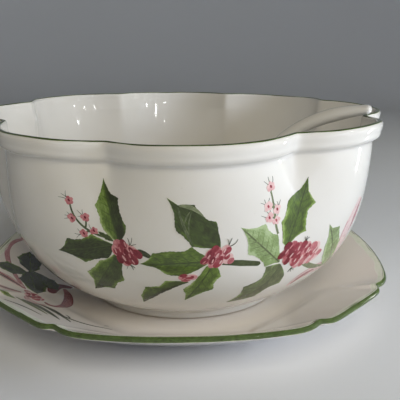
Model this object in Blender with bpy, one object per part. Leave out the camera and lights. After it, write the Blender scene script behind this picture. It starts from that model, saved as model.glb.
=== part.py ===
"""A lobed earthenware punch bowl on its underplate, with a ceramic ladle.

Units are metres and +Z is up. The origin is the middle of the underplate's foot, on the table.
The bowl stands on the underplate's flat well, and the ladle stands on the bowl's floor and leans
in one of the inward cusps of the bowl's rim.
"""

import math

import bmesh
import bpy
import numpy as np

# Air left between two pieces that rest on each other.
REST_GAP = 0.0003

# Bowl: plan of the rim.
LOBE_COUNT = 8
LOBE_RADIUS = 0.190
CUSP_RADIUS = 0.166
CUSP_EASE = math.radians(1.6)
CUSP_ANGLE = math.radians(-14.8)

# Bowl: heights above its own foot, and walls.
BOWL_HEIGHT = 0.172
BOWL_WALL = 0.006
BOWL_FLOOR = 0.010
RIM_ROLL_RADIUS = 0.003
COLLAR_HEIGHT = 0.018
COLLAR_STEP = 0.0045
COLLAR_FLARE = 0.0030
BOWL_FOOT_RADIUS = 0.094
BOWL_FOOT_WIDTH = 0.008
BOWL_FOOT_HEIGHT = 0.0105
BOWL_FOOT_RECESS = 0.004
BOWL_FOOT_SPREAD = 0.008

# Bowl: how its foot curves out into the belly. Shares of the foot's spread and of its height.
FOOT_CURVE = ((0.12, 0.55), (0.36, 0.83))

# Bowl: how its belly swells. Shares of the way out and up from the foot to the collar.
BELLY_LOW = (0.755, 0.205)
BELLY_HIGH = (0.945, 0.55)

# Bowl: the lobes fade towards the foot by this power of the height.
LOBE_FADE = 1.5

# Underplate: plan. A side is measured from the middle of the plate to the middle of the side.
# The whole plate stands turned a little under the bowl.
PLATE_LONG_SIDE = 0.1895
PLATE_CORNER_SIDE = 0.1955
PLATE_NOTCH_ALONG = 0.101
PLATE_NOTCH_DEPTH = 0.011
PLATE_LONG_BOW = 0.0145
PLATE_CORNER_BOW = 0.001
PLATE_TURN = math.radians(2.3)
SHOULDER_POWER = 13

# Underplate: the crease where its flange begins, and the flat round well that the bowl stands in.
CREASE_LONG_SIDE = 0.141
CREASE_CORNER_ALONG = 0.050
CREASE_BOW = 0.004
WELL_MARGIN = 0.020
WELL_RADIUS = BOWL_FOOT_RADIUS + WELL_MARGIN

# Underplate: heights above the table, and walls.
PLATE_HEIGHT = 0.045
CREASE_HEIGHT = 0.020
WELL_HEIGHT = 0.012
PLATE_WALL = 0.0065
WELL_RISE_POWER = 1.7
FLANGE_RISE_POWER = 1.1
PLATE_FOOT_RADIUS = 0.119
PLATE_FOOT_WIDTH = 0.010
FOOT_ROUNDING = 0.0008

# Ladle. Its cup's axis stands off the bowl's axis, towards the cusp that holds the handle.
LADLE_OFFSET = 0.008
LADLE_CUP_RADIUS = 0.042
LADLE_CUP_DEPTH = 0.036
LADLE_CUP_WALL = 0.0035
LADLE_CUP_FLAT = 0.014
HANDLE_THICKNESS = 0.0125
HANDLE_TIP_THICKNESS = 0.0095
HANDLE_WIDTH = 0.016
HANDLE_OVERHANG = 0.006
HANDLE_ROOT_DROP = 0.016
HANDLE_ROOT_SINK = 0.0023

# Ladle: how far the middle of the tip stands above its seat on the rim, which its slope needs.
HANDLE_LIFT = 0.0007

# Ladle: how its handle arches. Shares of the way out and up from the cup to the tip.
HANDLE_LOW = (0.18, 0.88)
HANDLE_HIGH = (0.635, 0.965)

# Ladle: shares of the handle's length that its round tip and its slender end take, and how much
# of its size it loses on the way down to the cup.
TIP_CAP = 0.035
TIP_SLENDER = 0.25
HANDLE_TAPER = 0.26

# How finely the solids are divided.
COLUMNS_PER_LOBE = 10
BELLY_STEPS = 9
ROLL_STEPS = 4
EASE_STEPS = 3
LONG_SIDE_COLUMNS = 14
CORNER_SIDE_COLUMNS = 8
FLANGE_STEPS = 5
WELL_STEPS = 3
HANDLE_STEPS = 18
HANDLE_SIDES = 14
TIP_STEPS = 4
CUP_SIDES = 32
CUP_STEPS = 8


def bezier(points, t):
    """The point at share t of a cubic Bezier curve, as an array: t may be an array too."""
    t = np.asarray(t, float)[..., None]
    p0, p1, p2, p3 = (np.asarray(p, float) for p in points)
    return (1 - t) ** 3 * p0 + 3 * (1 - t) ** 2 * t * p1 + 3 * (1 - t) * t**2 * p2 + t**3 * p3


def ease(start, corner, stop):
    """Points on a quadratic Bezier curve that rounds a corner, with neither of its two ends."""
    t = np.linspace(0, 1, EASE_STEPS + 1)[1:-1, None]
    return (1 - t) ** 2 * np.asarray(start) + 2 * (1 - t) * t * np.asarray(corner) + t**2 * np.asarray(stop)


def ceramic(name, colour, roughness):
    """A glazed ceramic material."""
    material = bpy.data.materials.new(name)
    material.use_nodes = True
    shader = material.node_tree.nodes["Principled BSDF"]
    shader.inputs["Base Color"].default_value = (*colour, 1.0)
    shader.inputs["Roughness"].default_value = roughness
    shader.inputs["Metallic"].default_value = 0.0
    return material


def add_object(name, bm, parent=None, location=(0.0, 0.0, 0.0), turn=0.0):
    """Turns a bmesh into a smooth-shaded object, placed under its parent."""
    mesh = bpy.data.meshes.new(name)
    bmesh.ops.recalc_face_normals(bm, faces=bm.faces)
    bm.to_mesh(mesh)
    bm.free()
    mesh.shade_smooth()
    mesh.set_sharp_from_angle(angle=math.radians(40))
    piece = bpy.data.objects.new(name, mesh)
    bpy.context.scene.collection.objects.link(piece)
    piece.parent = parent
    piece.location = location
    piece.rotation_euler.z = turn
    return piece


def skin(rings):
    """A closed solid: each ring of points is joined to the next, and flat caps close both ends."""
    bm = bmesh.new()
    loops = [[bm.verts.new(point) for point in ring] for ring in rings]
    for lower, upper in zip(loops, loops[1:]):
        for i in range(len(lower)):
            j = (i + 1) % len(lower)
            bm.faces.new((lower[i], lower[j], upper[j], upper[i]))
    bm.faces.new(loops[0][::-1])
    bm.faces.new(loops[-1])
    return bm


def lobed_plan():
    """Angles round the bowl and the rim's radius at each, as a share of the radius of a lobe.

    Each lobe is an arc through two neighbouring cusps. The angle from the nearest cusp is eased,
    which rounds the cusp off.
    """
    half = math.pi / LOBE_COUNT
    chord = CUSP_RADIUS * math.sin(half)
    sagitta = LOBE_RADIUS - CUSP_RADIUS * math.cos(half)
    arc = (chord**2 + sagitta**2) / (2 * sagitta)
    centre = LOBE_RADIUS - arc
    columns = np.arange(LOBE_COUNT * COLUMNS_PER_LOBE)
    from_cusp = 2 * half * columns / COLUMNS_PER_LOBE
    angle = CUSP_ANGLE + from_cusp
    nearest = np.abs((from_cusp + half) % (2 * half) - half)
    eased = half * np.sqrt((nearest**2 + CUSP_EASE**2) / (half**2 + CUSP_EASE**2))
    middle = half - eased
    radius = centre * np.cos(middle) + np.sqrt(arc**2 - (centre * np.sin(middle)) ** 2)
    return angle, radius / LOBE_RADIUS


def belly_curve():
    """The four control points (radius, height) of the bowl's outer belly, foot to collar."""
    foot = np.array([BOWL_FOOT_RADIUS + BOWL_FOOT_SPREAD, BOWL_FOOT_HEIGHT])
    neck = np.array([LOBE_RADIUS - COLLAR_FLARE - COLLAR_STEP, BOWL_HEIGHT - COLLAR_HEIGHT])
    span = neck - foot
    return foot, foot + span * BELLY_LOW, foot + span * BELLY_HIGH, neck


def offset_inwards(points, distance):
    """A profile moved square to itself by a distance, towards the bowl's axis and upwards."""
    along = np.gradient(points, axis=0)
    along /= np.linalg.norm(along, axis=1)[:, None]
    return points + distance * np.column_stack([-along[:, 1], along[:, 0]])


def roll(centre, radius, start, stop):
    """Points (radius, height) on an arc of a profile, angles from +radius towards +height."""
    angles = np.linspace(math.radians(start), math.radians(stop), ROLL_STEPS + 1)
    return np.column_stack([centre[0] + radius * np.cos(angles), centre[1] + radius * np.sin(angles)])


def bowl_outside():
    """The outer half of the bowl's section, as (radius, height), from under its floor to its rim."""
    ring_inner = BOWL_FOOT_RADIUS - BOWL_FOOT_WIDTH
    foot = [
        (ring_inner - BOWL_FOOT_RECESS / 2, BOWL_FOOT_RECESS),
        (ring_inner, FOOT_ROUNDING),
        (ring_inner + FOOT_ROUNDING, 0.0),
        (BOWL_FOOT_RADIUS - FOOT_ROUNDING, 0.0),
        (BOWL_FOOT_RADIUS, FOOT_ROUNDING),
    ]
    for out, up in FOOT_CURVE:
        foot.append((BOWL_FOOT_RADIUS + BOWL_FOOT_SPREAD * out, BOWL_FOOT_HEIGHT * up))
    belly = bezier(belly_curve(), np.linspace(0, 1, BELLY_STEPS + 1))
    step_centre = belly[-1] + (0.0, COLLAR_STEP)
    under_collar = roll(step_centre, COLLAR_STEP, -90, 0)
    roll_centre = (LOBE_RADIUS - RIM_ROLL_RADIUS, BOWL_HEIGHT - RIM_ROLL_RADIUS)
    rim = roll(roll_centre, RIM_ROLL_RADIUS, 0, 180)
    return np.vstack([foot, belly, under_collar[1:], rim])


def bowl_inside():
    """The inner half of the bowl's section, as (radius, height), from its floor to under its rim."""
    belly = offset_inwards(bezier(belly_curve(), np.linspace(0, 1, BELLY_STEPS + 1)), BOWL_WALL)
    low, above_low = belly[:2]
    run = (low[1] - BOWL_FLOOR) * (above_low[0] - low[0]) / (above_low[1] - low[1])
    corner = (low[0] - run, BOWL_FLOOR)
    floor_edge = (low[0] - 2 * run, BOWL_FLOOR)
    rim_inner = (LOBE_RADIUS - 2 * RIM_ROLL_RADIUS, BOWL_HEIGHT - RIM_ROLL_RADIUS)
    neck = belly[-1]
    return np.vstack([
        floor_edge,
        ease(floor_edge, corner, low),
        belly,
        ease(neck, (neck[0], (neck[1] + rim_inner[1]) / 2), rim_inner),
    ])


def bowl_radius(radius, height, plan):
    """The radius all round at one height. The lobes are full at the collar and fade to the foot."""
    body_top = BOWL_HEIGHT - COLLAR_HEIGHT
    rise = np.clip((height - BOWL_FOOT_HEIGHT) / (body_top - BOWL_FOOT_HEIGHT), 0.0, 1.0)
    return radius * (1 + (plan - 1) * rise**LOBE_FADE)


def make_bowl(parent):
    """The bowl, with its origin at the middle of its foot, which is on the line it lifts along."""
    angle, plan = lobed_plan()
    rings = []
    for radius, height in np.vstack([bowl_outside(), bowl_inside()[::-1]]):
        around = bowl_radius(radius, height, plan)
        rings.append(np.column_stack([
            around * np.cos(angle),
            around * np.sin(angle),
            np.full_like(angle, height),
        ]))
    return add_object("punch_bowl", skin(rings), parent, (0.0, 0.0, WELL_HEIGHT + REST_GAP))


def spread(count):
    """Shares from -1 up to but not including 1, closer together near the ends."""
    return -np.cos(np.pi * np.arange(count) / count)


def side_points(facing, along, out):
    """XY of points on a side that faces an angle: their distances along it and out from the middle."""
    outwards = np.array([math.cos(facing), math.sin(facing)])
    sideways = np.array([-math.sin(facing), math.cos(facing)])
    return np.outer(out, outwards) + np.outer(along, sideways)


def eight_sides(long_side, along, bow, depth, corner_side, corner_bow):
    """XY round an outline of four long sides and four corner sides, beginning with the -Y side.

    A side is bowed out in the middle, and near its ends it drops to the notch that it shares with
    its neighbour, by a high power of the share of its half length. A notch stands at a distance
    along the long side from its middle.
    """
    notch = long_side - bow - depth
    corner_half = (notch - along) / math.sqrt(2)
    corner_drop = corner_side - corner_bow - (notch + along) / math.sqrt(2)
    sides = (
        (0, LONG_SIDE_COLUMNS, along, long_side, bow, depth),
        (45, CORNER_SIDE_COLUMNS, corner_half, corner_side, corner_bow, corner_drop),
    )
    points = []
    for quarter in range(4):
        for turn, columns, half, side, side_bow, drop in sides:
            share = spread(columns)
            out = side - side_bow * share**2 - drop * np.abs(share) ** SHOULDER_POWER
            facing = math.radians(-90 + 90 * quarter + turn)
            points.append(side_points(facing, share * half, out))
    return np.vstack(points)


def plate_plan():
    """XY of the underplate's lip and of its crease, point by point in step, both turned."""
    lip = eight_sides(PLATE_LONG_SIDE, PLATE_NOTCH_ALONG, PLATE_LONG_BOW, PLATE_NOTCH_DEPTH,
                      PLATE_CORNER_SIDE, PLATE_CORNER_BOW)
    crease_end = (CREASE_LONG_SIDE - CREASE_BOW + CREASE_CORNER_ALONG) / math.sqrt(2)
    crease = eight_sides(CREASE_LONG_SIDE, CREASE_CORNER_ALONG, CREASE_BOW, 0.0,
                         crease_end + CREASE_BOW, CREASE_BOW)
    across, up = math.cos(PLATE_TURN), math.sin(PLATE_TURN)
    turned = np.array([(across, up), (-up, across)])
    return lip @ turned, crease @ turned


def shrink(ring, distance):
    """A ring of XY moved towards the middle by a distance, which may be negative."""
    reach = np.linalg.norm(ring, axis=1)[:, None]
    return ring * (1 - distance / reach)


def circle(ring, radius):
    """XY on a circle, in the directions of a ring's points."""
    return ring / np.linalg.norm(ring, axis=1)[:, None] * radius


def climb(inner, outer, low, high, power, shares):
    """Rings from an inner to an outer outline, whose height climbs as a power of the way out."""
    return [(inner + (outer - inner) * k, low + (high - low) * k**power) for k in shares]


def make_underplate():
    """The underplate, with its origin at the middle of its foot, on the table."""
    lip, crease = plate_plan()
    roll_radius = PLATE_WALL / 2
    lip_line = shrink(lip, roll_radius)
    slope = math.atan2(PLATE_HEIGHT - CREASE_HEIGHT, PLATE_LONG_SIDE - CREASE_LONG_SIDE)
    under_crease = shrink(crease, -PLATE_WALL * math.sin(slope))
    under_crease_height = CREASE_HEIGHT - PLATE_WALL * math.cos(slope)
    underside = WELL_HEIGHT - PLATE_WALL
    foot_inner = PLATE_FOOT_RADIUS - PLATE_FOOT_WIDTH
    foot_top = circle(crease, PLATE_FOOT_RADIUS + FOOT_ROUNDING)
    rings = [
        (circle(crease, foot_inner - FOOT_ROUNDING), underside),
        (circle(crease, foot_inner), FOOT_ROUNDING),
        (circle(crease, foot_inner + FOOT_ROUNDING), 0.0),
        (circle(crease, PLATE_FOOT_RADIUS - FOOT_ROUNDING), 0.0),
        (circle(crease, PLATE_FOOT_RADIUS), FOOT_ROUNDING),
    ]
    well_shares = np.linspace(0, 1, WELL_STEPS + 1)
    flange_shares = np.linspace(0, 1, FLANGE_STEPS + 1)[1:]
    rings += climb(foot_top, under_crease, underside, under_crease_height, WELL_RISE_POWER, well_shares)
    rings += climb(under_crease, lip_line, under_crease_height, PLATE_HEIGHT - PLATE_WALL,
                   FLANGE_RISE_POWER, flange_shares)
    roll_height = PLATE_HEIGHT - roll_radius
    for turn in np.linspace(-90, 90, ROLL_STEPS + 1)[1:-1]:
        out = roll_radius * math.cos(math.radians(turn))
        rings.append((shrink(lip_line, -out), roll_height + roll_radius * math.sin(math.radians(turn))))
    rings += climb(crease, lip_line, CREASE_HEIGHT, PLATE_HEIGHT, FLANGE_RISE_POWER, flange_shares[::-1])
    rings += climb(circle(crease, WELL_RADIUS), crease, WELL_HEIGHT, CREASE_HEIGHT, WELL_RISE_POWER,
                   well_shares[::-1])
    solid = skin([np.column_stack([xy, np.full(len(xy), z)]) for xy, z in rings])
    return add_object("underplate", solid)


def cup_profile(grow=0.0):
    """The ladle cup's section as (radius, height), from its flat bottom to its rim.

    The wall swings up through a quarter of an ellipse. grow moves it out, or in when negative.
    """
    turn = np.linspace(0, math.pi / 2, CUP_STEPS + 1)
    swell = LADLE_CUP_RADIUS - LADLE_CUP_FLAT + grow
    radius = LADLE_CUP_FLAT + swell * np.sin(turn)
    height = -grow + (LADLE_CUP_DEPTH + grow) * (1 - np.cos(turn))
    return np.column_stack([radius, height])


def turned(profile):
    """A closed solid turned about the Z axis from a profile."""
    angle = 2 * math.pi * np.arange(CUP_SIDES) / CUP_SIDES
    return skin([
        np.column_stack([r * np.cos(angle), r * np.sin(angle), np.full(CUP_SIDES, z)])
        for r, z in profile
    ])


def handle_curve():
    """The four control points (reach, height) of the handle's middle, from its tip to the cup.

    Reach is from the cup's axis towards the rim's cusp, and height is from the cup's bottom. The
    tip lies over the rim by its half thickness and a gap, and the curve drops from it to the cup.
    """
    seat = BOWL_HEIGHT - BOWL_FLOOR + HANDLE_TIP_THICKNESS / 2
    reach = CUSP_RADIUS + HANDLE_OVERHANG - LADLE_OFFSET
    tip = np.array([reach, seat + HANDLE_LIFT])
    root = np.array([LADLE_CUP_RADIUS - HANDLE_ROOT_SINK, LADLE_CUP_DEPTH - HANDLE_ROOT_DROP])
    span = tip - root
    return tip, root + span * HANDLE_HIGH, root + span * HANDLE_LOW, root


def handle_sizes():
    """Shares of the handle's length from its tip, and its half width and half thickness at each.

    The tip closes as a quarter of an ellipse. Past it the handle grows from its slender end to its
    full size, and tapers all the way down to the cup.
    """
    cap = np.linspace(0, math.pi / 2, TIP_STEPS + 1)[1:]
    share = np.concatenate([TIP_CAP * (1 - np.cos(cap)), np.linspace(TIP_CAP, 1, HANDLE_STEPS + 1)[1:]])
    closing = np.concatenate([np.sin(cap), np.ones(HANDLE_STEPS)])
    grown = np.clip(share / TIP_SLENDER, 0, 1)
    grown = grown**2 * (3 - 2 * grown)
    taper = closing * (1 - HANDLE_TAPER * share)
    thickness = HANDLE_TIP_THICKNESS + (HANDLE_THICKNESS - HANDLE_TIP_THICKNESS) * grown
    return share, taper * HANDLE_WIDTH / 2, taper * thickness / 2


def make_handle(parent):
    """The ladle's handle alone, as a guide that is joined to the cup."""
    share, half_width, half_thickness = handle_sizes()
    middle = bezier(handle_curve(), share)
    along = np.gradient(middle, axis=0)
    along /= np.linalg.norm(along, axis=1)[:, None]
    turn = 2 * math.pi * np.arange(HANDLE_SIDES) / HANDLE_SIDES
    side = np.outer(half_width, np.cos(turn))
    rise = np.outer(half_thickness, np.sin(turn))
    reach = middle[:, :1] - along[:, 1:] * rise
    height = middle[:, 1:] + along[:, :1] * rise
    return add_object("handle_guide", skin(np.stack([reach, side, height], axis=-1)), parent)


def make_hollow(parent):
    """The inside of the ladle's cup, as a guide that is cut out of it."""
    inside = cup_profile(-LADLE_CUP_WALL)
    above = (inside[-1][0], LADLE_CUP_DEPTH + LADLE_CUP_WALL)
    return add_object("hollow_guide", turned(np.vstack([inside, above])), parent)


def make_ladle(parent):
    """The ladle: cup and handle joined, then hollowed. Its origin is at its cup's bottom."""
    place = (
        LADLE_OFFSET * math.cos(CUSP_ANGLE),
        LADLE_OFFSET * math.sin(CUSP_ANGLE),
        BOWL_FLOOR + REST_GAP,
    )
    ladle = add_object("ladle", turned(cup_profile()), parent, place, CUSP_ANGLE)
    for guide, operation in ((make_handle(ladle), "UNION"), (make_hollow(ladle), "DIFFERENCE")):
        guide.hide_render = True
        guide.display_type = "WIRE"
        cut = ladle.modifiers.new(operation.title(), "BOOLEAN")
        cut.operation = operation
        cut.solver = "EXACT"
        cut.object = guide
    return ladle


def main():
    for piece in list(bpy.data.objects):
        bpy.data.objects.remove(piece)
    ivory = ceramic("ivory_glaze", (0.80, 0.77, 0.71), 0.12)
    shade = ceramic("ivory_glaze_underplate", (0.76, 0.72, 0.66), 0.14)
    plain = ceramic("ivory_glaze_ladle", (0.78, 0.76, 0.70), 0.12)
    underplate = make_underplate()
    bowl = make_bowl(underplate)
    ladle = make_ladle(bowl)
    for piece, material in ((underplate, shade), (bowl, ivory), (ladle, plain)):
        piece.data.materials.append(material)


main()
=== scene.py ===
"""A holly-painted punch bowl on its underplate, with its ladle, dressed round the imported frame.

Units are metres and +Z is up. The three glazed pieces are fine surfaces that stand for the frame's
solids and keep their sizes. The brushwork is modelled too: thin closed strokes of paint that follow
the glaze under them, so that it keeps its edges from every side.
"""

import logging
import math
from collections.abc import Sequence
from dataclasses import dataclass, field
from enum import Enum
from typing import Protocol

import bpy
import numpy as np
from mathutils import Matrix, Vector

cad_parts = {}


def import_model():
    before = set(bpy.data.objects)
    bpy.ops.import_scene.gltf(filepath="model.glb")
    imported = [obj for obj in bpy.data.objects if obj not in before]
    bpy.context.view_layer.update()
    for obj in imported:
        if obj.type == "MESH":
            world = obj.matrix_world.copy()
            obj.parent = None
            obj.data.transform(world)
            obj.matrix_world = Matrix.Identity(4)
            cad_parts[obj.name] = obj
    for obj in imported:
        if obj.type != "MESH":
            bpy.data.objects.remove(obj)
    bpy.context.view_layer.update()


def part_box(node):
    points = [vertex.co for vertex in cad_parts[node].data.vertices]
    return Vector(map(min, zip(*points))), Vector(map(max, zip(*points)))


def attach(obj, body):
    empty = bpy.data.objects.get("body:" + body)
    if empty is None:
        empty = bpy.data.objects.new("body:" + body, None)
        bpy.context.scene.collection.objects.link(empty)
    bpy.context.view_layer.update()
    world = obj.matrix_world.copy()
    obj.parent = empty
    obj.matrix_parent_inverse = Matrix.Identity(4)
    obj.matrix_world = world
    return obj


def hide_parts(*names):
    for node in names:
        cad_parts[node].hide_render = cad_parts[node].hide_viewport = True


Array = np.ndarray
Colour = tuple[float, float, float]
Pair = tuple[float, float]

POLE = 0.0006  # radius of the last ring before a pole
RIPPLE = 32.0  # how fine the ripple in the glaze is
RIPPLE_STRENGTH = 0.35
RIPPLE_DEPTH = 0.00045
GOLDEN_ANGLE = math.pi * (3 - math.sqrt(5))

log = logging.getLogger("punch_bowl")


# ---------------------------------------------------------------------------------------------
# Curves, sheets and skins


def bezier(points: Sequence[Sequence[float]] | Array, shares: Array | int) -> Array:
    """Points on a Bezier curve of any degree: neighbours are mixed by the share until one is left.

    Args:
        points: the control points.
        shares: how far along the curve each point lies, from 0 to 1, or how many even ones there are.

    Returns:
        One row for each share.
    """
    even = np.linspace(0, 1, shares) if isinstance(shares, int) else shares
    layer = np.repeat(np.asarray(points, float)[:, None, :], len(even), axis=1)
    mix = even[:, None]
    while len(layer) > 1:
        layer = layer[:-1] * (1 - mix) + layer[1:] * mix
    return layer[0]


def ease(low: float, high: float, value: Array) -> Array:
    """0 below low, 1 above high, and 3t^2 - 2t^3 in between."""
    t = np.clip((value - low) / (high - low), 0, 1)
    return t * t * (3 - 2 * t)


def rounded(corners: Sequence[Pair], radii: Sequence[float], steps: int = 6) -> Array:
    """A line through corners, where each inner corner is a quadratic Bezier curve.

    Args:
        corners: the corners, from end to end.
        radii: how far from each inner corner its curve begins and ends.
        steps: how many parts each curve has.

    Returns:
        The points of the line.
    """
    path = np.asarray(corners, float)
    parts = [path[:1]]
    for before, corner, after, radius in zip(path, path[1:], path[2:], radii):
        back = (before - corner) / np.linalg.norm(before - corner)
        forth = (after - corner) / np.linalg.norm(after - corner)
        parts.append(bezier([corner + back * radius, corner, corner + forth * radius], steps + 1))
    parts.append(path[-1:])
    return np.vstack(parts)


def spaced(points: Array, gap: float) -> Array:
    """The same line in even steps of about one gap, measured along it.

    Args:
        points: the line.
        gap: the length of a step.

    Returns:
        The points of the new line.
    """
    along = travelled(points)
    even = np.linspace(0, along[-1], max(2, round(along[-1] / gap) + 1))
    return np.column_stack([np.interp(even, along, points[:, k]) for k in range(points.shape[1])])


def travelled(points: Array) -> Array:
    """How far along a line each of its points lies."""
    return np.concatenate([[0], np.cumsum(np.linalg.norm(np.diff(points, axis=0), axis=1))])


def arc(centre: Pair, radius: float, start: float, stop: float, steps: int) -> Array:
    """Points of a circle's arc, with angles in degrees from +radius towards +height."""
    turn = np.radians(np.linspace(start, stop, steps + 1))
    return np.column_stack([centre[0] + radius * np.cos(turn), centre[1] + radius * np.sin(turn)])


def axes(turn: float) -> tuple[Array, Array]:
    """Unit steps in XY: ahead, for a turn in radians from +X towards +Y, and to the left of that."""
    return np.array([math.cos(turn), math.sin(turn)]), np.array([-math.sin(turn), math.cos(turn)])


def revolved(section: Array, columns: int) -> Array:
    """Rings round the Z axis.

    Args:
        section: the radius and the height of each ring.
        columns: how many points a ring has.

    Returns:
        Rings x points x 3.
    """
    angle = 2 * math.pi * np.arange(columns) / columns
    return np.stack([
        np.column_stack([r * np.cos(angle), r * np.sin(angle), np.full(columns, z)]) for r, z in section
    ])


def relax(ring: Array, times: int) -> Array:
    """Smooths a closed ring: each point goes to half itself and a quarter of either neighbour.

    Args:
        ring: the ring.
        times: how often it is smoothed.

    Returns:
        The smoothed ring.
    """
    for _ in range(times):
        ring = (np.roll(ring, 1, axis=0) + 2 * ring + np.roll(ring, -1, axis=0)) / 4
    return ring


@dataclass
class Sheet:
    """A surface as rows of points that each close round on themselves.

    A step round crossed with a step to the next row points out of the surface.
    """

    points: Array
    normals: Array = field(init=False)

    def __post_init__(self) -> None:
        """Works out the normals: the cross product of the steps round and across."""
        around = np.roll(self.points, -1, axis=1) - np.roll(self.points, 1, axis=1)
        across = np.gradient(self.points, axis=0)
        normals = np.cross(around, across)
        self.normals = normals / np.linalg.norm(normals, axis=-1, keepdims=True)

    def at(self, column: Array, row: Array) -> tuple[Array, Array]:
        """Points and normals between the grid's own, mixed from the four nearest.

        Args:
            column: places round the sheet, in columns.
            row: places across the sheet, in rows.

        Returns:
            The points and the normals.
        """
        rows, columns = self.points.shape[:2]
        row = np.clip(row, 0, rows - 1)
        low = np.minimum(np.floor(row).astype(int), rows - 2)
        left = np.floor(column).astype(int)
        up = (row - low)[..., None]
        on = (column - left)[..., None]
        left, right = left % columns, (left + 1) % columns
        found = [
            (grid[low, left] * (1 - on) + grid[low, right] * on) * (1 - up)
            + (grid[low + 1, left] * (1 - on) + grid[low + 1, right] * on) * up
            for grid in (self.points, self.normals)
        ]
        return found[0], found[1] / np.linalg.norm(found[1], axis=-1, keepdims=True)

    def under(self, places: Array, times: int = 12) -> tuple[Array, Array]:
        """Columns and rows of the points that lie under XY places, by Newton's method.

        Args:
            places: XY places, in the last axis.
            times: how often the guess is bettered.

        Returns:
            The columns and the rows.
        """
        rows, columns = self.points.shape[:2]
        middle = self.points[rows // 2, :, :2]
        bearing = np.unwrap(np.arctan2(middle[:, 1], middle[:, 0]))
        wanted = np.arctan2(places[..., 1], places[..., 0])
        wanted = bearing[0] + (wanted - bearing[0]) % (2 * math.pi)
        closed = np.append(bearing, bearing[0] + 2 * math.pi)
        column = np.interp(wanted, closed, np.arange(columns + 1))
        row = np.full(wanted.shape, rows / 2)
        step = 0.25
        for _ in range(times):
            here = self.at(column, row)[0][..., :2]
            round_it = (self.at(column + step, row)[0][..., :2] - here) / step
            back = np.where(row > rows - 2, -step, step)
            over_it = (self.at(column, row + back)[0][..., :2] - here) / back[..., None]
            miss = places - here
            area = round_it[..., 0] * over_it[..., 1] - round_it[..., 1] * over_it[..., 0]
            area = np.where(np.abs(area) < 1e-12, 1e-12, area)
            across = (miss[..., 0] * over_it[..., 1] - miss[..., 1] * over_it[..., 0]) / area
            along = (round_it[..., 0] * miss[..., 1] - round_it[..., 1] * miss[..., 0]) / area
            column = column + np.clip(across, -20, 20)
            row = np.clip(row + np.clip(along, -12, 12), 0, rows - 1)
        return column, row


@dataclass
class Shape:
    """Points and faces that become one mesh, with vectors that the finishes read."""

    points: Array
    faces: list[Array]
    marks: dict[str, Array] = field(default_factory=dict)

    @classmethod
    def skin(cls, rings: Array, marks: dict[str, Array] | None = None, ring_closed: bool = False) -> "Shape":
        """A closed skin over a grid of rings, whose points close round.

        Args:
            rings: rings x points x 3.
            marks: vectors for each point of the grid, by name.
            ring_closed: whether the last ring meets the first. If not, each end closes in a pole.

        Returns:
            The shape, with its faces pointing out.
        """
        count, around = rings.shape[:2]
        index = np.arange(count * around).reshape(count, around)
        lower = index if ring_closed else index[:-1]
        upper = np.roll(index, -1, axis=0) if ring_closed else index[1:]
        quads = np.stack([lower, np.roll(lower, -1, axis=1), np.roll(upper, -1, axis=1), upper], axis=-1)
        points = rings.reshape(-1, 3)
        faces = [quads.reshape(-1, 4)]
        kept = {name: grid.reshape(-1, 3) for name, grid in (marks or {}).items()}
        if not ring_closed:
            first, last = index[0], index[-1]
            poles = (count * around, count * around + 1)
            fans = (np.stack([np.full(around, poles[0]), np.roll(first, -1), first], axis=-1),
                    np.stack([np.full(around, poles[1]), last, np.roll(last, -1)], axis=-1))
            faces.append(np.vstack(fans))
            points = np.vstack([points, rings[0].mean(0), rings[-1].mean(0)])
            kept = {name: np.vstack([grid, grid[first].mean(0), grid[last].mean(0)])
                    for name, grid in kept.items()}
        shape = cls(points, faces, kept)
        if shape.volume() < 0:
            shape.faces = [f[:, ::-1] for f in shape.faces]
        return shape

    @classmethod
    def joined(cls, shapes: Sequence["Shape"]) -> "Shape":
        """Several shapes as one, each still a closed body.

        Args:
            shapes: the shapes, which all have the same vectors.

        Returns:
            The joined shape.
        """
        starts = np.cumsum([0] + [len(s.points) for s in shapes])
        faces = [f + start for s, start in zip(shapes, starts) for f in s.faces]
        marks = {name: np.vstack([s.marks[name] for s in shapes]) for name in shapes[0].marks}
        return cls(np.vstack([s.points for s in shapes]), faces, marks)

    def volume(self) -> float:
        """The volume inside: the sum of a x b . c / 6 over its triangles.

        Returns:
            Cubic metres, below 0 where the faces point in.
        """
        middle = self.points.mean(0)
        total = 0.0
        for f in self.faces:
            corners = self.points[f] - middle
            for k in range(1, f.shape[1] - 1):
                crossed = np.cross(corners[:, 0], corners[:, k])
                total += float((crossed * corners[:, k + 1]).sum())
        return total / 6

    def piece(self, name: str, material: bpy.types.Material, sharp: float = 50.0) -> bpy.types.Object:
        """Makes the shape a smooth-shaded object at the origin.

        Args:
            name: the object's name.
            material: its finish.
            sharp: the angle in degrees past which an edge is left sharp.

        Returns:
            The new object.
        """
        mesh = bpy.data.meshes.new(name)
        mesh.from_pydata(self.points.tolist(), [], [row for f in self.faces for row in f.tolist()])
        for mark, values in self.marks.items():
            layer = mesh.attributes.new(mark, "FLOAT_VECTOR", "POINT")
            layer.data.foreach_set("vector", values.astype(np.float32).ravel())
        mesh.shade_smooth()
        mesh.set_sharp_from_angle(angle=math.radians(sharp))
        mesh.materials.append(material)
        made = bpy.data.objects.new(name, mesh)
        bpy.context.scene.collection.objects.link(made)
        return made


# ---------------------------------------------------------------------------------------------
# Shader nodes


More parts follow.
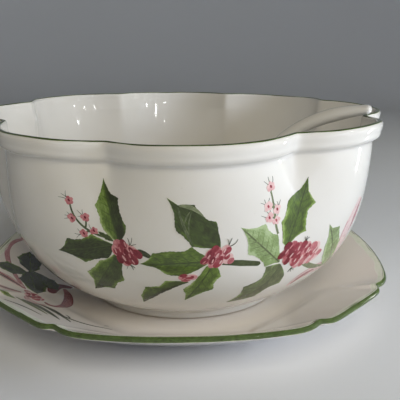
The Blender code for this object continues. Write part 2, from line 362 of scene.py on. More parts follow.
class Term:
    """A shader value. Python's operators on it add Math nodes to its material."""

    def __init__(self, bench: "Bench", socket: bpy.types.NodeSocket) -> None:
        """Wraps an output socket."""
        self.bench = bench
        self.socket = socket

    def math(self, operation: str, first: "Term | float", second: "Term | float" = 0.0) -> "Term":
        """One Math node on two values."""
        return self.bench.node("ShaderNodeMath", {"operation": operation}, {0: first, 1: second})

    def __add__(self, other: "Term | float") -> "Term":
        """self + other."""
        return self.math("ADD", self, other)

    def __radd__(self, other: float) -> "Term":
        """other + self."""
        return self.math("ADD", other, self)

    def __sub__(self, other: "Term | float") -> "Term":
        """self - other."""
        return self.math("SUBTRACT", self, other)

    def __rsub__(self, other: float) -> "Term":
        """other - self."""
        return self.math("SUBTRACT", other, self)

    def __mul__(self, other: "Term | float") -> "Term":
        """self * other."""
        return self.math("MULTIPLY", self, other)

    def __rmul__(self, other: float) -> "Term":
        """other * self."""
        return self.math("MULTIPLY", other, self)

    def __abs__(self) -> "Term":
        """The size of self."""
        return self.math("ABSOLUTE", self)

    def rise(self, low: float, high: float) -> "Term":
        """A smooth step from 0 to 1.

        Args:
            low: where it begins.
            high: where it ends, which may be the smaller.

        Returns:
            The step as a term.
        """
        return self.bench.node(
            "ShaderNodeMapRange",
            {"interpolation_type": "SMOOTHSTEP"},
            {"Value": self, "From Min": low, "From Max": high},
        )


class Bench:
    """One material's node tree, and the ways that nodes are put on it."""

    def __init__(self, name: str) -> None:
        """Starts a material that holds one Principled shader.

        Args:
            name: the material's name.
        """
        self.material = bpy.data.materials.new(name)
        self.material.use_nodes = True
        self.tree = self.material.node_tree
        self.shader = self.tree.nodes["Principled BSDF"]

    def node(
        self, kind: str, settings: dict | None = None, inputs: dict | None = None, output: int | str = 0
    ) -> Term:
        """Adds a node.

        Args:
            kind: the node's type.
            settings: its own settings, which are set first. stops are a ramp's places and colours.
            inputs: values or terms for its sockets, by number, name or identifier.
            output: which of its outputs is meant.

        Returns:
            The output as a term.
        """
        made = self.tree.nodes.new(kind)
        for name, value in (settings or {}).items():
            if name == "stops":
                self.set_stops(made.color_ramp, value)
            else:
                setattr(made, name, value)
        for key, value in (inputs or {}).items():
            self.feed(self.socket(made.inputs, key), value)
        return Term(self, self.socket(made.outputs, output))

    @staticmethod
    def socket(sockets: bpy.types.bpy_prop_collection, key: int | str) -> bpy.types.NodeSocket:
        """A node's socket by its number, its identifier or its name.

        Args:
            sockets: the node's inputs or outputs.
            key: the number, identifier or name.

        Returns:
            The socket.
        """
        if isinstance(key, int):
            return sockets[key]
        return next((s for s in sockets if s.identifier == key), None) or sockets[key]

    @staticmethod
    def set_stops(ramp: bpy.types.ColorRamp, stops: Sequence[tuple[float, Colour]]) -> None:
        """Gives a ramp its places and colours.

        Args:
            ramp: the ramp.
            stops: places from 0 to 1, each with its colour.
        """
        while len(ramp.elements) < len(stops):
            ramp.elements.new(1.0)
        for element, (place, colour) in zip(ramp.elements, stops):
            element.position = place
            element.color = (*colour, 1.0)

    def feed(self, socket: bpy.types.NodeSocket, value: "Term | float | Sequence[float]") -> None:
        """Links a term to a socket, or sets the socket's own value.

        Args:
            socket: the input.
            value: what it gets.
        """
        if isinstance(value, Term):
            self.tree.links.new(value.socket, socket)
        elif isinstance(value, tuple) and socket.type == "RGBA":
            socket.default_value = (*value, 1.0)
        else:
            socket.default_value = value

    def split(self, vector: Term) -> tuple[Term, Term, Term]:
        """The three numbers of a vector."""
        return tuple(self.node("ShaderNodeSeparateXYZ", None, {0: vector}, output=k) for k in range(3))

    def mark(self, name: str) -> tuple[Term, Term, Term]:
        """The three numbers of one of the mesh's own vectors."""
        return self.split(self.node("ShaderNodeAttribute", {"attribute_name": name}, output="Vector"))

    def place(self) -> tuple[Term, Term, Term]:
        """The three object coordinates, in metres."""
        return self.split(self.node("ShaderNodeTexCoord", output="Object"))

    def noise(self, at: Sequence["Term | float"], scale: float, detail: float = 2.0) -> Term:
        """Noise from 0 to 1 at three coordinates."""
        vector = self.node("ShaderNodeCombineXYZ", None, dict(enumerate(at)))
        return self.node("ShaderNodeTexNoise", None, {"Vector": vector, "Scale": scale, "Detail": detail})

    def mix(self, share: "Term | float", first: "Term | Colour", second: "Term | Colour") -> Term:
        """A mix of two colours.

        Args:
            share: how much of the second there is, from 0 to 1.
            first: the first colour.
            second: the second colour.

        Returns:
            The mixed colour.
        """
        return self.node(
            "ShaderNodeMix",
            {"data_type": "RGBA"},
            {"Factor_Float": share, "A_Color": first, "B_Color": second},
            output="Result_Color",
        )

    def ramp(self, share: Term, stops: Sequence[tuple[float, Colour]]) -> Term:
        """A colour picked from a ramp."""
        return self.node("ShaderNodeValToRGB", {"stops": stops}, {0: share})

    def bump(self, height: Term, strength: float, distance: float) -> Term:
        """A normal from a height in distances."""
        inputs = {"Height": height, "Strength": strength, "Distance": distance}
        return self.node("ShaderNodeBump", None, inputs, output="Normal")

    def finish(self, **sockets: "Term | float | Colour") -> bpy.types.Material:
        """Feeds the shader's sockets, whose names are written with _ for a space.

        Args:
            **sockets: values or terms, by the names of the sockets.

        Returns:
            The finished material.
        """
        for name, value in sockets.items():
            self.feed(self.shader.inputs[name.replace("_", " ")], value)
        return self.material


# ---------------------------------------------------------------------------------------------
# Finishes


@dataclass(frozen=True)
class IvoryGlaze:
    """A glossy ivory glaze that thins a little in places, over a bare clay foot.

    foot is the height under which the clay is bare. A fineness is the scale of a noise.
    """

    name: str
    colour: Colour
    foot: float
    deep: Colour = (0.60, 0.55, 0.47)
    clay: Colour = (0.58, 0.47, 0.35)
    speck: Colour = (0.40, 0.33, 0.24)
    cloud_fineness: float = 14.0
    grain_fineness: float = 420.0
    speck_fineness: float = 900.0
    coat: float = 0.35
    index: float = 1.52

    def material(self) -> bpy.types.Material:
        """Builds the finish: cloudy thickness, sparse iron specks, a faint ripple and a bare foot.

        Returns:
            The material.
        """
        bench = Bench(self.name)
        x, y, z = bench.place()
        cloud = bench.noise((x, y, z), self.cloud_fineness, 3.0)
        grain = bench.noise((x, y, z), self.grain_fineness, 1.0)
        specks = bench.noise((x, y, z), self.speck_fineness, 0.0).rise(0.84, 0.90)
        bare = z.rise(self.foot + 0.0012, self.foot + 0.0005)
        glaze = bench.mix(cloud.rise(0.35, 0.75) * 0.16, self.colour, self.deep)
        glaze = bench.mix(specks * 0.22, glaze, self.speck)
        clay = bench.mix(grain, self.clay, tuple(c * 0.8 for c in self.clay))
        ripple = bench.noise((x, y, z), RIPPLE, 1.0) * 0.8 + grain * 0.012
        return bench.finish(
            Base_Color=bench.mix(bare, glaze, clay),
            Roughness=0.055 + cloud * 0.05 + bare * 0.7,
            Coat_Weight=(1 - bare) * self.coat,
            Coat_Roughness=0.02,
            IOR=self.index,
            Normal=bench.bump(ripple, RIPPLE_STRENGTH, RIPPLE_DEPTH),
        )


@dataclass(frozen=True)
class Paint:
    """Brushwork under the glaze, coloured along a ramp from its dark tone to its light one.

    streak is how much the brush's hairs show, slant how far the streaks lean forward from the
    middle of a stroke, rim how much lighter its edges are in places, vein how strongly veins
    show, and vein_tone their tone. grain and wash are how fine the hairs and the cloudy changes
    of tone are, and ribs how many veins there are to a metre.
    """

    name: str
    stops: tuple[tuple[float, Colour], ...]
    streak: float = 0.4
    slant: float = 0.0
    rim: float = 0.0
    vein: float = 0.0
    vein_tone: float = 0.20
    grain: float = 260.0
    wash: float = 60.0
    ribs: float = 150.0

    def material(self) -> bpy.types.Material:
        """Builds the finish from each stroke's own vectors.

        brush holds how far along and across a stroke a point lies, and the stroke's tone. laid
        holds the same places in metres, and a number that tells strokes apart.

        Returns:
            The material.
        """
        bench = Bench(self.name)
        along, across, tone = bench.mark("brush")
        x, y, seed = bench.mark("laid")
        lean = x - abs(y) * self.slant
        hairs = bench.noise((lean * self.grain * 0.22, y * self.grain, seed), 6.0, 3.0)
        wash = bench.noise((x * self.wash, y * self.wash, seed), 2.0, 2.0)
        value = tone + (hairs - 0.5) * self.streak * 1.6 + (wash - 0.5) * 0.55
        if self.vein:
            ribs = lean.math("PINGPONG", lean * self.ribs + seed, 0.5)
            veins = ribs.rise(0.10, 0.02) * abs(across).rise(0.95, 0.3) * along.rise(0.05, 0.2)
            midrib = abs(y).rise(0.0009, 0.0003) * along.rise(1.0, 0.85)
            lines = veins.math("MAXIMUM", veins * 0.6, midrib) * wash.rise(0.30, 0.50)
            value = value + lines * (self.vein_tone - tone) * self.vein
        if self.rim:
            worn = bench.noise((x * 300.0, y * 300.0, seed), 1.0, 1.0)
            patchy = bench.noise((x * 45.0, y * 90.0, seed + 7.0), 1.0, 0.0).rise(0.38, 0.58)
            value = value + (abs(across) + worn * 0.25).rise(0.76, 1.08) * patchy * self.rim
        ripple = bench.noise(bench.place(), RIPPLE, 1.0)
        return bench.finish(
            Base_Color=bench.ramp(value, self.stops),
            Roughness=0.09 + hairs * 0.05,
            Coat_Weight=0.1,
            Coat_Roughness=0.02,
            IOR=1.45,
            Normal=bench.bump(ripple * 0.8 + hairs * 0.05, RIPPLE_STRENGTH, RIPPLE_DEPTH),
        )


LEAF_STOPS = (
    (0.00, (0.036, 0.042, 0.020)),
    (0.28, (0.068, 0.097, 0.030)),
    (0.50, (0.122, 0.192, 0.034)),
    (0.75, (0.245, 0.350, 0.092)),
    (1.00, (0.460, 0.520, 0.260)),
)
SAGE_STOPS = (
    (0.00, (0.046, 0.052, 0.030)),
    (0.28, (0.095, 0.110, 0.056)),
    (0.50, (0.155, 0.190, 0.088)),
    (0.75, (0.255, 0.350, 0.140)),
    (1.00, (0.430, 0.530, 0.290)),
)
STEM_STOPS = ((0.00, (0.032, 0.036, 0.020)), (0.40, (0.080, 0.105, 0.048)), (1.00, (0.330, 0.370, 0.210)))
BERRY_STOPS = (
    (0.00, (0.170, 0.016, 0.028)),
    (0.35, (0.340, 0.050, 0.070)),
    (0.65, (0.620, 0.240, 0.255)),
    (1.00, (0.790, 0.560, 0.540)),
)
RIBBON_STOPS = ((0.00, (0.220, 0.050, 0.060)), (0.45, (0.520, 0.230, 0.250)), (1.00, (0.770, 0.620, 0.590)))
LINE_STOPS = ((0.00, (0.052, 0.066, 0.024)), (0.45, (0.110, 0.170, 0.050)), (1.00, (0.520, 0.580, 0.330)))
# A pale mint band just inside the underplate's lip: partly a green halo of the painted line, partly painted
# highlight where the glaze shines bright.
HALO_AND_PAINTED_HIGHLIGHT_STOPS = ((0.00, (0.660, 0.740, 0.560)), (0.50, (0.860, 0.890, 0.760)), (1.00, (0.930, 0.920, 0.850)))


class Pot(Enum):
    """The colours that the painter works with, each with a slot name that the script does not use."""

    LEAF = (Paint("leaf_paint", LEAF_STOPS, streak=0.42, slant=0.85, rim=0.42, vein=1.2), "leaf_paint")
    SAGE = (Paint("sage_paint", SAGE_STOPS, streak=0.42, slant=0.85, rim=0.34, vein=0.7, vein_tone=0.14),
            "leaf_paint")
    STEM = (Paint("stem_paint", STEM_STOPS, streak=0.5, rim=0.15), "leaf_paint")
    BERRY = (Paint("berry_paint", BERRY_STOPS, streak=0.35, rim=0.16), "berry_paint")
    RIBBON = (Paint("ribbon_paint", RIBBON_STOPS, streak=0.85, rim=-0.30), "berry_paint")
    LINE = (Paint("line_paint", LINE_STOPS, streak=0.45, rim=0.45), "line_paint")
    # Partly a halo of the green line, partly painted highlight.
    HALO_AND_PAINTED_HIGHLIGHT = (Paint("halo_and_painted_highlight", HALO_AND_PAINTED_HIGHLIGHT_STOPS, streak=0.9, rim=0.40, grain=120.0), "line_paint")


# ---------------------------------------------------------------------------------------------
# Glazed pieces


class Ground(Protocol):
    """A glazed surface that can be painted on."""

    def lay(self, at: Pair, plan: Array) -> tuple[Array, Array]:
        """Points and normals under a plan that is laid down at a place."""


@dataclass
class PunchBowl:
    """The bowl: eight lobes that fade towards a round foot, and a collar under a rolled rim.

    base is its foot's height over the table. All other heights are above its foot. cusp_slips are
    how many degrees each cusp lies from its even place, because the lobes were drawn in by hand.
    rim_wave is how far the rim stands over its even height at each cusp and lobe in turn. belly_low
    and belly_high are shares of the way from the foot to the neck, out and up. cove_pull is how hard
    the curve under the rim, inside, is pulled down and up at its two ends. floor_reach is how far in
    the wall's curve into the floor goes, where 1 is as far as the wall would go if it ran on
    straight. A gap is how far apart the rings are along that part of the section.
    """

    base: float
    height: float
    lobes: int = 8
    lobe_radius: float = 0.190
    cusp_radius: float = 0.166
    cusp_angle: float = math.radians(-14.8)
    cusp_ease: float = math.radians(1.6)
    cusp_slips: tuple[float, ...] = (0.0, -2.2, -1.6, -1.6, -1.8, -1.8, -3.0, 0.8)
    rim_wave: tuple[float, ...] = (
        0.0, 0.0002, 0.0010, -0.0014, 0.0, -0.0008, 0.0013, 0.0011,
        0.0022, 0.0018, 0.0008, 0.0, -0.0028, -0.0008, 0.0006, 0.0028,
    )
    lobe_fade: float = 1.5
    soft_crease: float = 4.0
    wall: float = 0.006
    floor: float = 0.010
    roll: float = 0.003
    collar: float = 0.018
    collar_step: float = 0.0075
    cove: float = 0.050
    foot_radius: float = 0.094
    foot_width: float = 0.008
    foot_height: float = 0.0105
    foot_recess: float = 0.004
    foot_spread: float = 0.008
    foot_rounding: tuple[float, ...] = (0.0014, 0.0012, 0.0014, 0.0032)
    belly_low: Pair = (0.755, 0.205)
    belly_high: Pair = (0.945, 0.55)
    shoulder_step: Pair = (-0.0014, -0.0072)
    cove_pull: Pair = (0.010, 0.020)
    floor_reach: float = 2.4
    foot_gap: float = 0.0009
    belly_gap: float = 0.0026
    collar_gap: float = 0.0008
    cove_gap: float = 0.0014
    inside_gap: float = 0.0030
    floor_gap: float = 0.009
    columns_per_lobe: int = 50
    section: Array = field(init=False)
    even_angles: Array = field(init=False)
    angles: Array = field(init=False)
    grid: Array = field(init=False)
    sheet: Sheet = field(init=False)
    arcs: Array = field(init=False)
    belly_rows: slice = field(init=False)
    rim_row: float = field(init=False)

    def __post_init__(self) -> None:
        """Works out the section, the columns' angles and the whole grid."""
        share = np.arange(self.columns_per_lobe) / self.columns_per_lobe
        closer = share - 0.5 * np.sin(2 * math.pi * share) / (2 * math.pi)
        lobe = np.arange(self.lobes)[:, None]
        self.even_angles = (self.cusp_angle + (lobe + closer) * 2 * math.pi / self.lobes).ravel()
        slips = np.radians([*self.cusp_slips, self.cusp_slips[0]])[:, None]
        mix = ease(0, 1, closer)
        self.angles = self.even_angles + (slips[:-1] * (1 - mix) + slips[1:] * mix).ravel()
        under, belly, collar, rim, inside = self.parts()
        self.section = np.vstack([under, belly[1:], collar[1:], rim[1:], inside[1:]])
        first = len(under) - 1
        last = first + len(belly) + len(collar) + len(rim) - 3
        self.belly_rows = slice(first, last + 1)
        self.rim_row = float(last - first - (len(rim) - 1))
        self.grid = np.stack([self.ring(radius, height) for radius, height in self.section])
        self.sheet = Sheet(self.grid[self.belly_rows])
        self.arcs = travelled(self.section[self.belly_rows])

    def rise(self, height: Array | float) -> Array | float:
        """How far up from the foot to the collar a height lies, from 0 to 1."""
        top = self.height - self.collar
        return np.clip((height - self.foot_height) / (top - self.foot_height), 0, 1)

    def ring(self, radius: float, height: float) -> Array:
        """One ring of the bowl.

        Each lobe is an arc of a circle through two cusps: rho = c cos a + sqrt(R^2 - (c sin a)^2),
        where a is the angle from the lobe's middle. sqrt(d^2 + e^2) in place of the distance d
        from the nearest cusp rounds the cusp off, more so lower down, where the lobes fade too.

        Args:
            radius: how far out the lobes' middles are.
            height: how high the ring is, above the foot.

        Returns:
            Its points, one for each column.
        """
        half = math.pi / self.lobes
        chord = self.cusp_radius * math.sin(half)
        sagitta = self.lobe_radius - self.cusp_radius * math.cos(half)
        arc_radius = (chord**2 + sagitta**2) / (2 * sagitta)
        centre = self.lobe_radius - arc_radius
        soft = self.cusp_ease * (1 + self.soft_crease * (1 - self.rise(height)))
        nearest = np.abs((self.even_angles - self.cusp_angle + half) % (2 * half) - half)
        eased = half * np.sqrt((nearest**2 + soft**2) / (half**2 + soft**2))
        middle = half - eased
        plan = centre * np.cos(middle) + np.sqrt(arc_radius**2 - (centre * np.sin(middle)) ** 2)
        around = radius * (1 + (plan / self.lobe_radius - 1) * self.rise(height) ** self.lobe_fade)
        place = (self.even_angles - self.cusp_angle) / half
        node = place.astype(int)
        mix = ease(0, 1, place - node)
        wave = np.array([*self.rim_wave, self.rim_wave[0]])
        over = (wave[node] * (1 - mix) + wave[node + 1] * mix) * self.rise(height) ** 4
        return np.column_stack([
            around * np.cos(self.angles), around * np.sin(self.angles), self.base + height + over
        ])

    def parts(self) -> tuple[Array, Array, Array, Array, Array]:
        """The section as (radius, height): under the foot, belly, collar, rim and inside.

        Returns:
            Five lines, each beginning where the one before ends.
        """
        ring_inner = self.foot_radius - self.foot_width
        start = np.array([self.foot_radius + self.foot_spread, self.foot_height])
        neck = np.array([self.lobe_radius - self.collar_step, self.height - self.collar])
        span = neck - start
        belly = bezier([start, start + span * self.belly_low, start + span * self.belly_high, neck], 200)
        foot = [
            (ring_inner - 0.003, self.foot_recess), (ring_inner, self.foot_recess * 0.9),
            (ring_inner + 0.0004, 0), (self.foot_radius, 0),
            (self.foot_radius + 0.0008, self.foot_height * 0.72), start,
        ]
        under = np.vstack([
            spaced(np.array([(POLE, self.foot_recess), (ring_inner - 0.004, self.foot_recess)]), 0.011),
            spaced(rounded(foot, self.foot_rounding), self.foot_gap),
        ])
        roll_foot = np.array([self.lobe_radius, self.height - self.roll])
        shoulder = roll_foot + self.shoulder_step
        collar = np.vstack([
            bezier([neck, neck + (0.0003, 0.0036), shoulder + (-0.0006, -0.0052), shoulder], 40),
            bezier([shoulder, shoulder + (0.0003, 0.0030), roll_foot - (0.0, 0.003), roll_foot], 20)[1:],
        ])
        rim = arc((self.lobe_radius - self.roll, self.height - self.roll), self.roll, 0, 180, 16)
        tangent = np.gradient(belly, axis=0)
        tangent /= np.linalg.norm(tangent, axis=1)[:, None]
        inner = belly + self.wall * np.column_stack([-tangent[:, 1], tangent[:, 0]])
        inner = inner[inner[:, 1] < self.height - self.cove]
        low, above = inner[:2]
        run = (low[1] - self.floor) * (above[0] - low[0]) / (above[1] - low[1])
        floor_edge = (low[0] - self.floor_reach * run, self.floor)
        down = (inner[-2] - inner[-1]) / np.linalg.norm(inner[-2] - inner[-1])
        pulled = rim[-1] - (0.0, self.cove_pull[0]), inner[-1] - down * self.cove_pull[1]
        cove = bezier([rim[-1], *pulled, inner[-1]], 40)
        inside = np.vstack([
            spaced(cove, self.cove_gap),
            spaced(inner[::-1], self.inside_gap)[1:],
            spaced(bezier([low, (low[0] - run, self.floor), floor_edge], 12), 0.0018)[1:],
            spaced(np.array([floor_edge, (POLE, self.floor)]), self.floor_gap)[1:],
        ])
        return under, spaced(belly, self.belly_gap), spaced(collar, self.collar_gap), rim, inside

    def lay(self, at: Pair, plan: Array) -> tuple[Array, Array]:
        """Points and normals on the outside, under a plan laid down at a place.

        Args:
            at: the plan's origin: a bearing in degrees, and how far up the wall in metres.
            plan: metres to the right and up, in the last axis.

        Returns:
            Points and normals.
        """
        up = at[1] + plan[..., 1]
        row = np.interp(up, self.arcs, np.arange(len(self.arcs)))
        around = np.interp(up, self.arcs, self.section[self.belly_rows][:, 0])
        angle = math.radians(at[0]) + plan[..., 0] / around
        return self.sheet.at(self.column(angle), row)

    def column(self, angle: Array) -> Array:
        """The columns at some angles, between whole ones too.

        Args:
            angle: the angles, in radians.

        Returns:
            The columns.
        """
        closed = np.append(self.angles, self.angles[0] + 2 * math.pi)
        turn = self.angles[0] + (angle - self.angles[0]) % (2 * math.pi)
        return np.interp(turn, closed, np.arange(len(closed)))

    def build(self) -> Shape:
        """The whole bowl as one closed skin."""
        return Shape.skin(self.grid)


@dataclass
class Underplate:
    """The underplate: four long and four corner sides with a notch between each two.

    A flat round well curves up to a crease, and a flange climbs from there to a rolled lip. The
    easings are how often the lip's and the crease's outlines are smoothed, and fold_easing how
    often the fold at the crease is, over about fold_reach rings.
    """

    height: float
    turn: float = math.radians(2.3)
    long_side: float = 0.1895
    corner_side: float = 0.1955
    notch_along: float = 0.101
    notch_depth: float = 0.011
    long_bow: float = 0.0145
    corner_bow: float = 0.001
    shoulder: float = 13.0
    crease_long_side: float = 0.141
    crease_along: float = 0.050
    crease_bow: float = 0.004
    crease_height: float = 0.020
    well_radius: float = 0.114
    well_height: float = 0.012
    wall: float = 0.0065
    edge: float = 0.0050
    foot_radius: float = 0.119
    foot_width: float = 0.010
    foot_spread: float = 0.004
    cove_power: float = 1.7
    flange_power: float = 1.1
    lip_easing: int = 5
    crease_easing: int = 34
    fold_reach: float = 5.0
    fold_easing: int = 10
    long_columns: int = 80
    corner_columns: int = 44
    grid: Array = field(init=False)
    sheet: Sheet = field(init=False)
    crest_row: int = field(init=False)

    def __post_init__(self) -> None:
        """Works out the whole grid, and its top as a sheet that can be painted."""
        lip, crease = self.outlines()
        under = self.underside(lip, crease)
        roll = self.lip_roll(lip)
        top = self.topside(lip, crease)
        self.grid = np.concatenate([under, roll, top])
        visible = np.concatenate([roll[3:], top])
        self.crest_row = len(visible) - len(top) - 1
        self.sheet = Sheet(visible)

    def shares(self, count: int) -> Array:
        """Shares along a side, from -1 up to but not including 1, closer together near its ends."""
        even = -1 + 2 * np.arange(count) / count
        return 0.3 * even + 0.7 * np.sin(even * math.pi / 2)

    def sides(self, long_side: float, along: float, bow: float, depth: float, corner_side: float,
              corner_bow: float) -> Array:
        """XY round eight sides. A side stands at d - bow s^2 - drop |s|^shoulder from the middle.

        Args:
            long_side: how far the middle of a long side is from the middle of the plate.
            along: how far along the long side its end is.
            bow: how far a long side bows out.
            depth: how far a long side drops into the notch at its end.
            corner_side: how far the middle of a corner side is from the middle of the plate.
            corner_bow: how far a corner side bows out.

        Returns:
            The points, beginning with the -Y side.
        """
        notch = long_side - bow - depth
        corner_half = (notch - along) / math.sqrt(2)
        corner_drop = corner_side - corner_bow - (notch + along) / math.sqrt(2)
        kinds = ((0, self.long_columns, along, long_side, bow, depth),
                 (45, self.corner_columns, corner_half, corner_side, corner_bow, corner_drop))
        points = []
        for quarter in range(4):
            for turn, count, half, side, side_bow, drop in kinds:
                share = self.shares(count)
                out = side - side_bow * share**2 - drop * np.abs(share) ** self.shoulder
                outwards, onwards = axes(self.turn + math.radians(-90 + 90 * quarter + turn))
                points.append(np.outer(out, outwards) + np.outer(share * half, onwards))
        return np.vstack(points)

    def outlines(self) -> tuple[Array, Array]:
        """The lip's outline and the crease's, point by point in step, with their corners eased.

        Returns:
            Two rings of XY.
        """
        lip = self.sides(self.long_side, self.notch_along, self.long_bow, self.notch_depth,
                         self.corner_side, self.corner_bow)
        end = (self.crease_long_side - self.crease_bow + self.crease_along) / math.sqrt(2)
        crease = self.sides(self.crease_long_side, self.crease_along, self.crease_bow, 0.0,
                            end + self.crease_bow, self.crease_bow)
        return relax(lip, self.lip_easing), relax(crease, self.crease_easing)

    @staticmethod
    def circle(ring: Array, radius: float) -> Array:
        """XY on a circle, in the directions of a ring's points."""
        return ring / np.linalg.norm(ring, axis=1)[:, None] * radius

    @staticmethod
    def grow(ring: Array, distance: float) -> Array:
        """A ring moved away from the middle by a distance, which may be negative."""
        return ring * (1 + distance / np.linalg.norm(ring, axis=1)[:, None])

    @staticmethod
    def raised(ring: Array, height: float) -> Array:
        """A ring of XY at a height."""
        return np.column_stack([ring, np.full(len(ring), height)])

    def climb(self, inner: Array, outer: Array, low: float, high: float, power: float,
              shares: Array) -> Array:
        """Rings from an inner to an outer outline, whose height climbs as a power of the way out.

        Args:
            inner: the inner outline.
            outer: the outer outline.
            low: the inner one's height.
            high: the outer one's height.
            power: the power.
            shares: how far out each ring lies, from 0 to 1.

        Returns:
            Rings x points x 3.
        """
        return np.stack([
            self.raised(inner + (outer - inner) * k, low + (high - low) * k**power) for k in shares
        ])

    def underside(self, lip: Array, crease: Array) -> Array:
        """Rings from under the middle, over the foot and out to under the lip.

        Args:
            lip: the lip's outline.
            crease: the crease's outline.

        Returns:
            Rings x points x 3.
        """
        below = self.well_height - self.wall
        inner = self.foot_radius - self.foot_width
        foot = spaced(rounded(
            [(inner - self.foot_spread, below), (inner - 0.0004, below), (inner, 0), (self.foot_radius, 0),
             (self.foot_radius + 0.0004, below * 0.8), (self.foot_radius + self.foot_spread, below)],
            [0.0016, 0.0012, 0.0012, 0.0016]), 0.0008)
        middle = spaced(np.array([(POLE, below), (inner - 0.005, below)]), 0.012)
        turned = [self.raised(self.circle(crease, r), z) for r, z in np.vstack([middle, foot])]
        slope = math.atan2(self.height - self.crease_height, self.long_side - self.crease_long_side)
        under_crease = self.grow(crease, self.wall * math.sin(slope))
        under_height = self.crease_height - self.wall * math.cos(slope)
        lip_line = self.grow(lip, -self.edge / 2)
        cove = self.climb(self.circle(crease, self.foot_radius + self.foot_spread), under_crease, below,
                          under_height, self.cove_power, np.linspace(0, 1, 9)[1:])
        flange = self.climb(under_crease, lip_line, under_height, self.height - self.edge, self.flange_power,
                            np.linspace(0, 1, 21)[1:-1])
        return np.concatenate([np.stack(turned), cove, flange])

    def lip_roll(self, lip: Array) -> Array:
        """Rings round the lip's edge, from under it to its crest.

        Args:
            lip: the lip's outline.

        Returns:
            Rings x points x 3.
        """
        radius = self.edge / 2
        line = self.grow(lip, -radius)
        middle = self.height - radius
        return np.stack([
            self.raised(self.grow(line, radius * math.cos(turn)), middle + radius * math.sin(turn))
            for turn in np.radians(np.linspace(-90, 90, 19))
        ])

    def topside(self, lip: Array, crease: Array) -> Array:
        """Rings from inside the lip's crest, down the flange and the cove to the middle.

        Args:
            lip: the lip's outline.
            crease: the crease's outline.

        Returns:
            Rings x points x 3.
        """
        line = self.grow(lip, -self.edge / 2)
        flange = self.climb(crease, line, self.crease_height, self.height, self.flange_power,
                            np.linspace(1, 0, 33)[1:])
        cove = self.climb(self.circle(crease, self.well_radius), crease, self.well_height, self.crease_height,
                          self.cove_power, np.linspace(1, 0, 19)[1:])
        radii = np.linspace(self.well_radius, POLE, 14)[1:]
        well = [self.raised(self.circle(crease, r), self.well_height) for r in radii]
        rings = np.concatenate([flange, cove, np.stack(well)])
        near = np.exp(-(((np.arange(len(rings)) - len(flange) + 1) / self.fold_reach) ** 2))[:, None, None]
        for _ in range(self.fold_easing):
            mean = (rings[:-2] + 2 * rings[1:-1] + rings[2:]) / 4
            rings[1:-1] += (mean - rings[1:-1]) * near[1:-1]
        return rings

    def lay(self, at: Pair, plan: Array) -> tuple[Array, Array]:
        """Points and normals on the top, under a plan laid down at a place.

        Args:
            at: the plan's origin: a bearing in degrees and a distance from the middle in metres.
            plan: metres to the right and inwards, as seen from outside, in the last axis.

        Returns:
            Points and normals.
        """
        out, right = axes(math.radians(at[0]))
        places = out * (at[1] - plan[..., 1:]) + right * plan[..., :1]
        column, row = self.sheet.under(places)
        return self.sheet.at(column, row)

    def build(self) -> Shape:
        """The whole underplate as one closed skin."""
        return Shape.skin(self.grid)


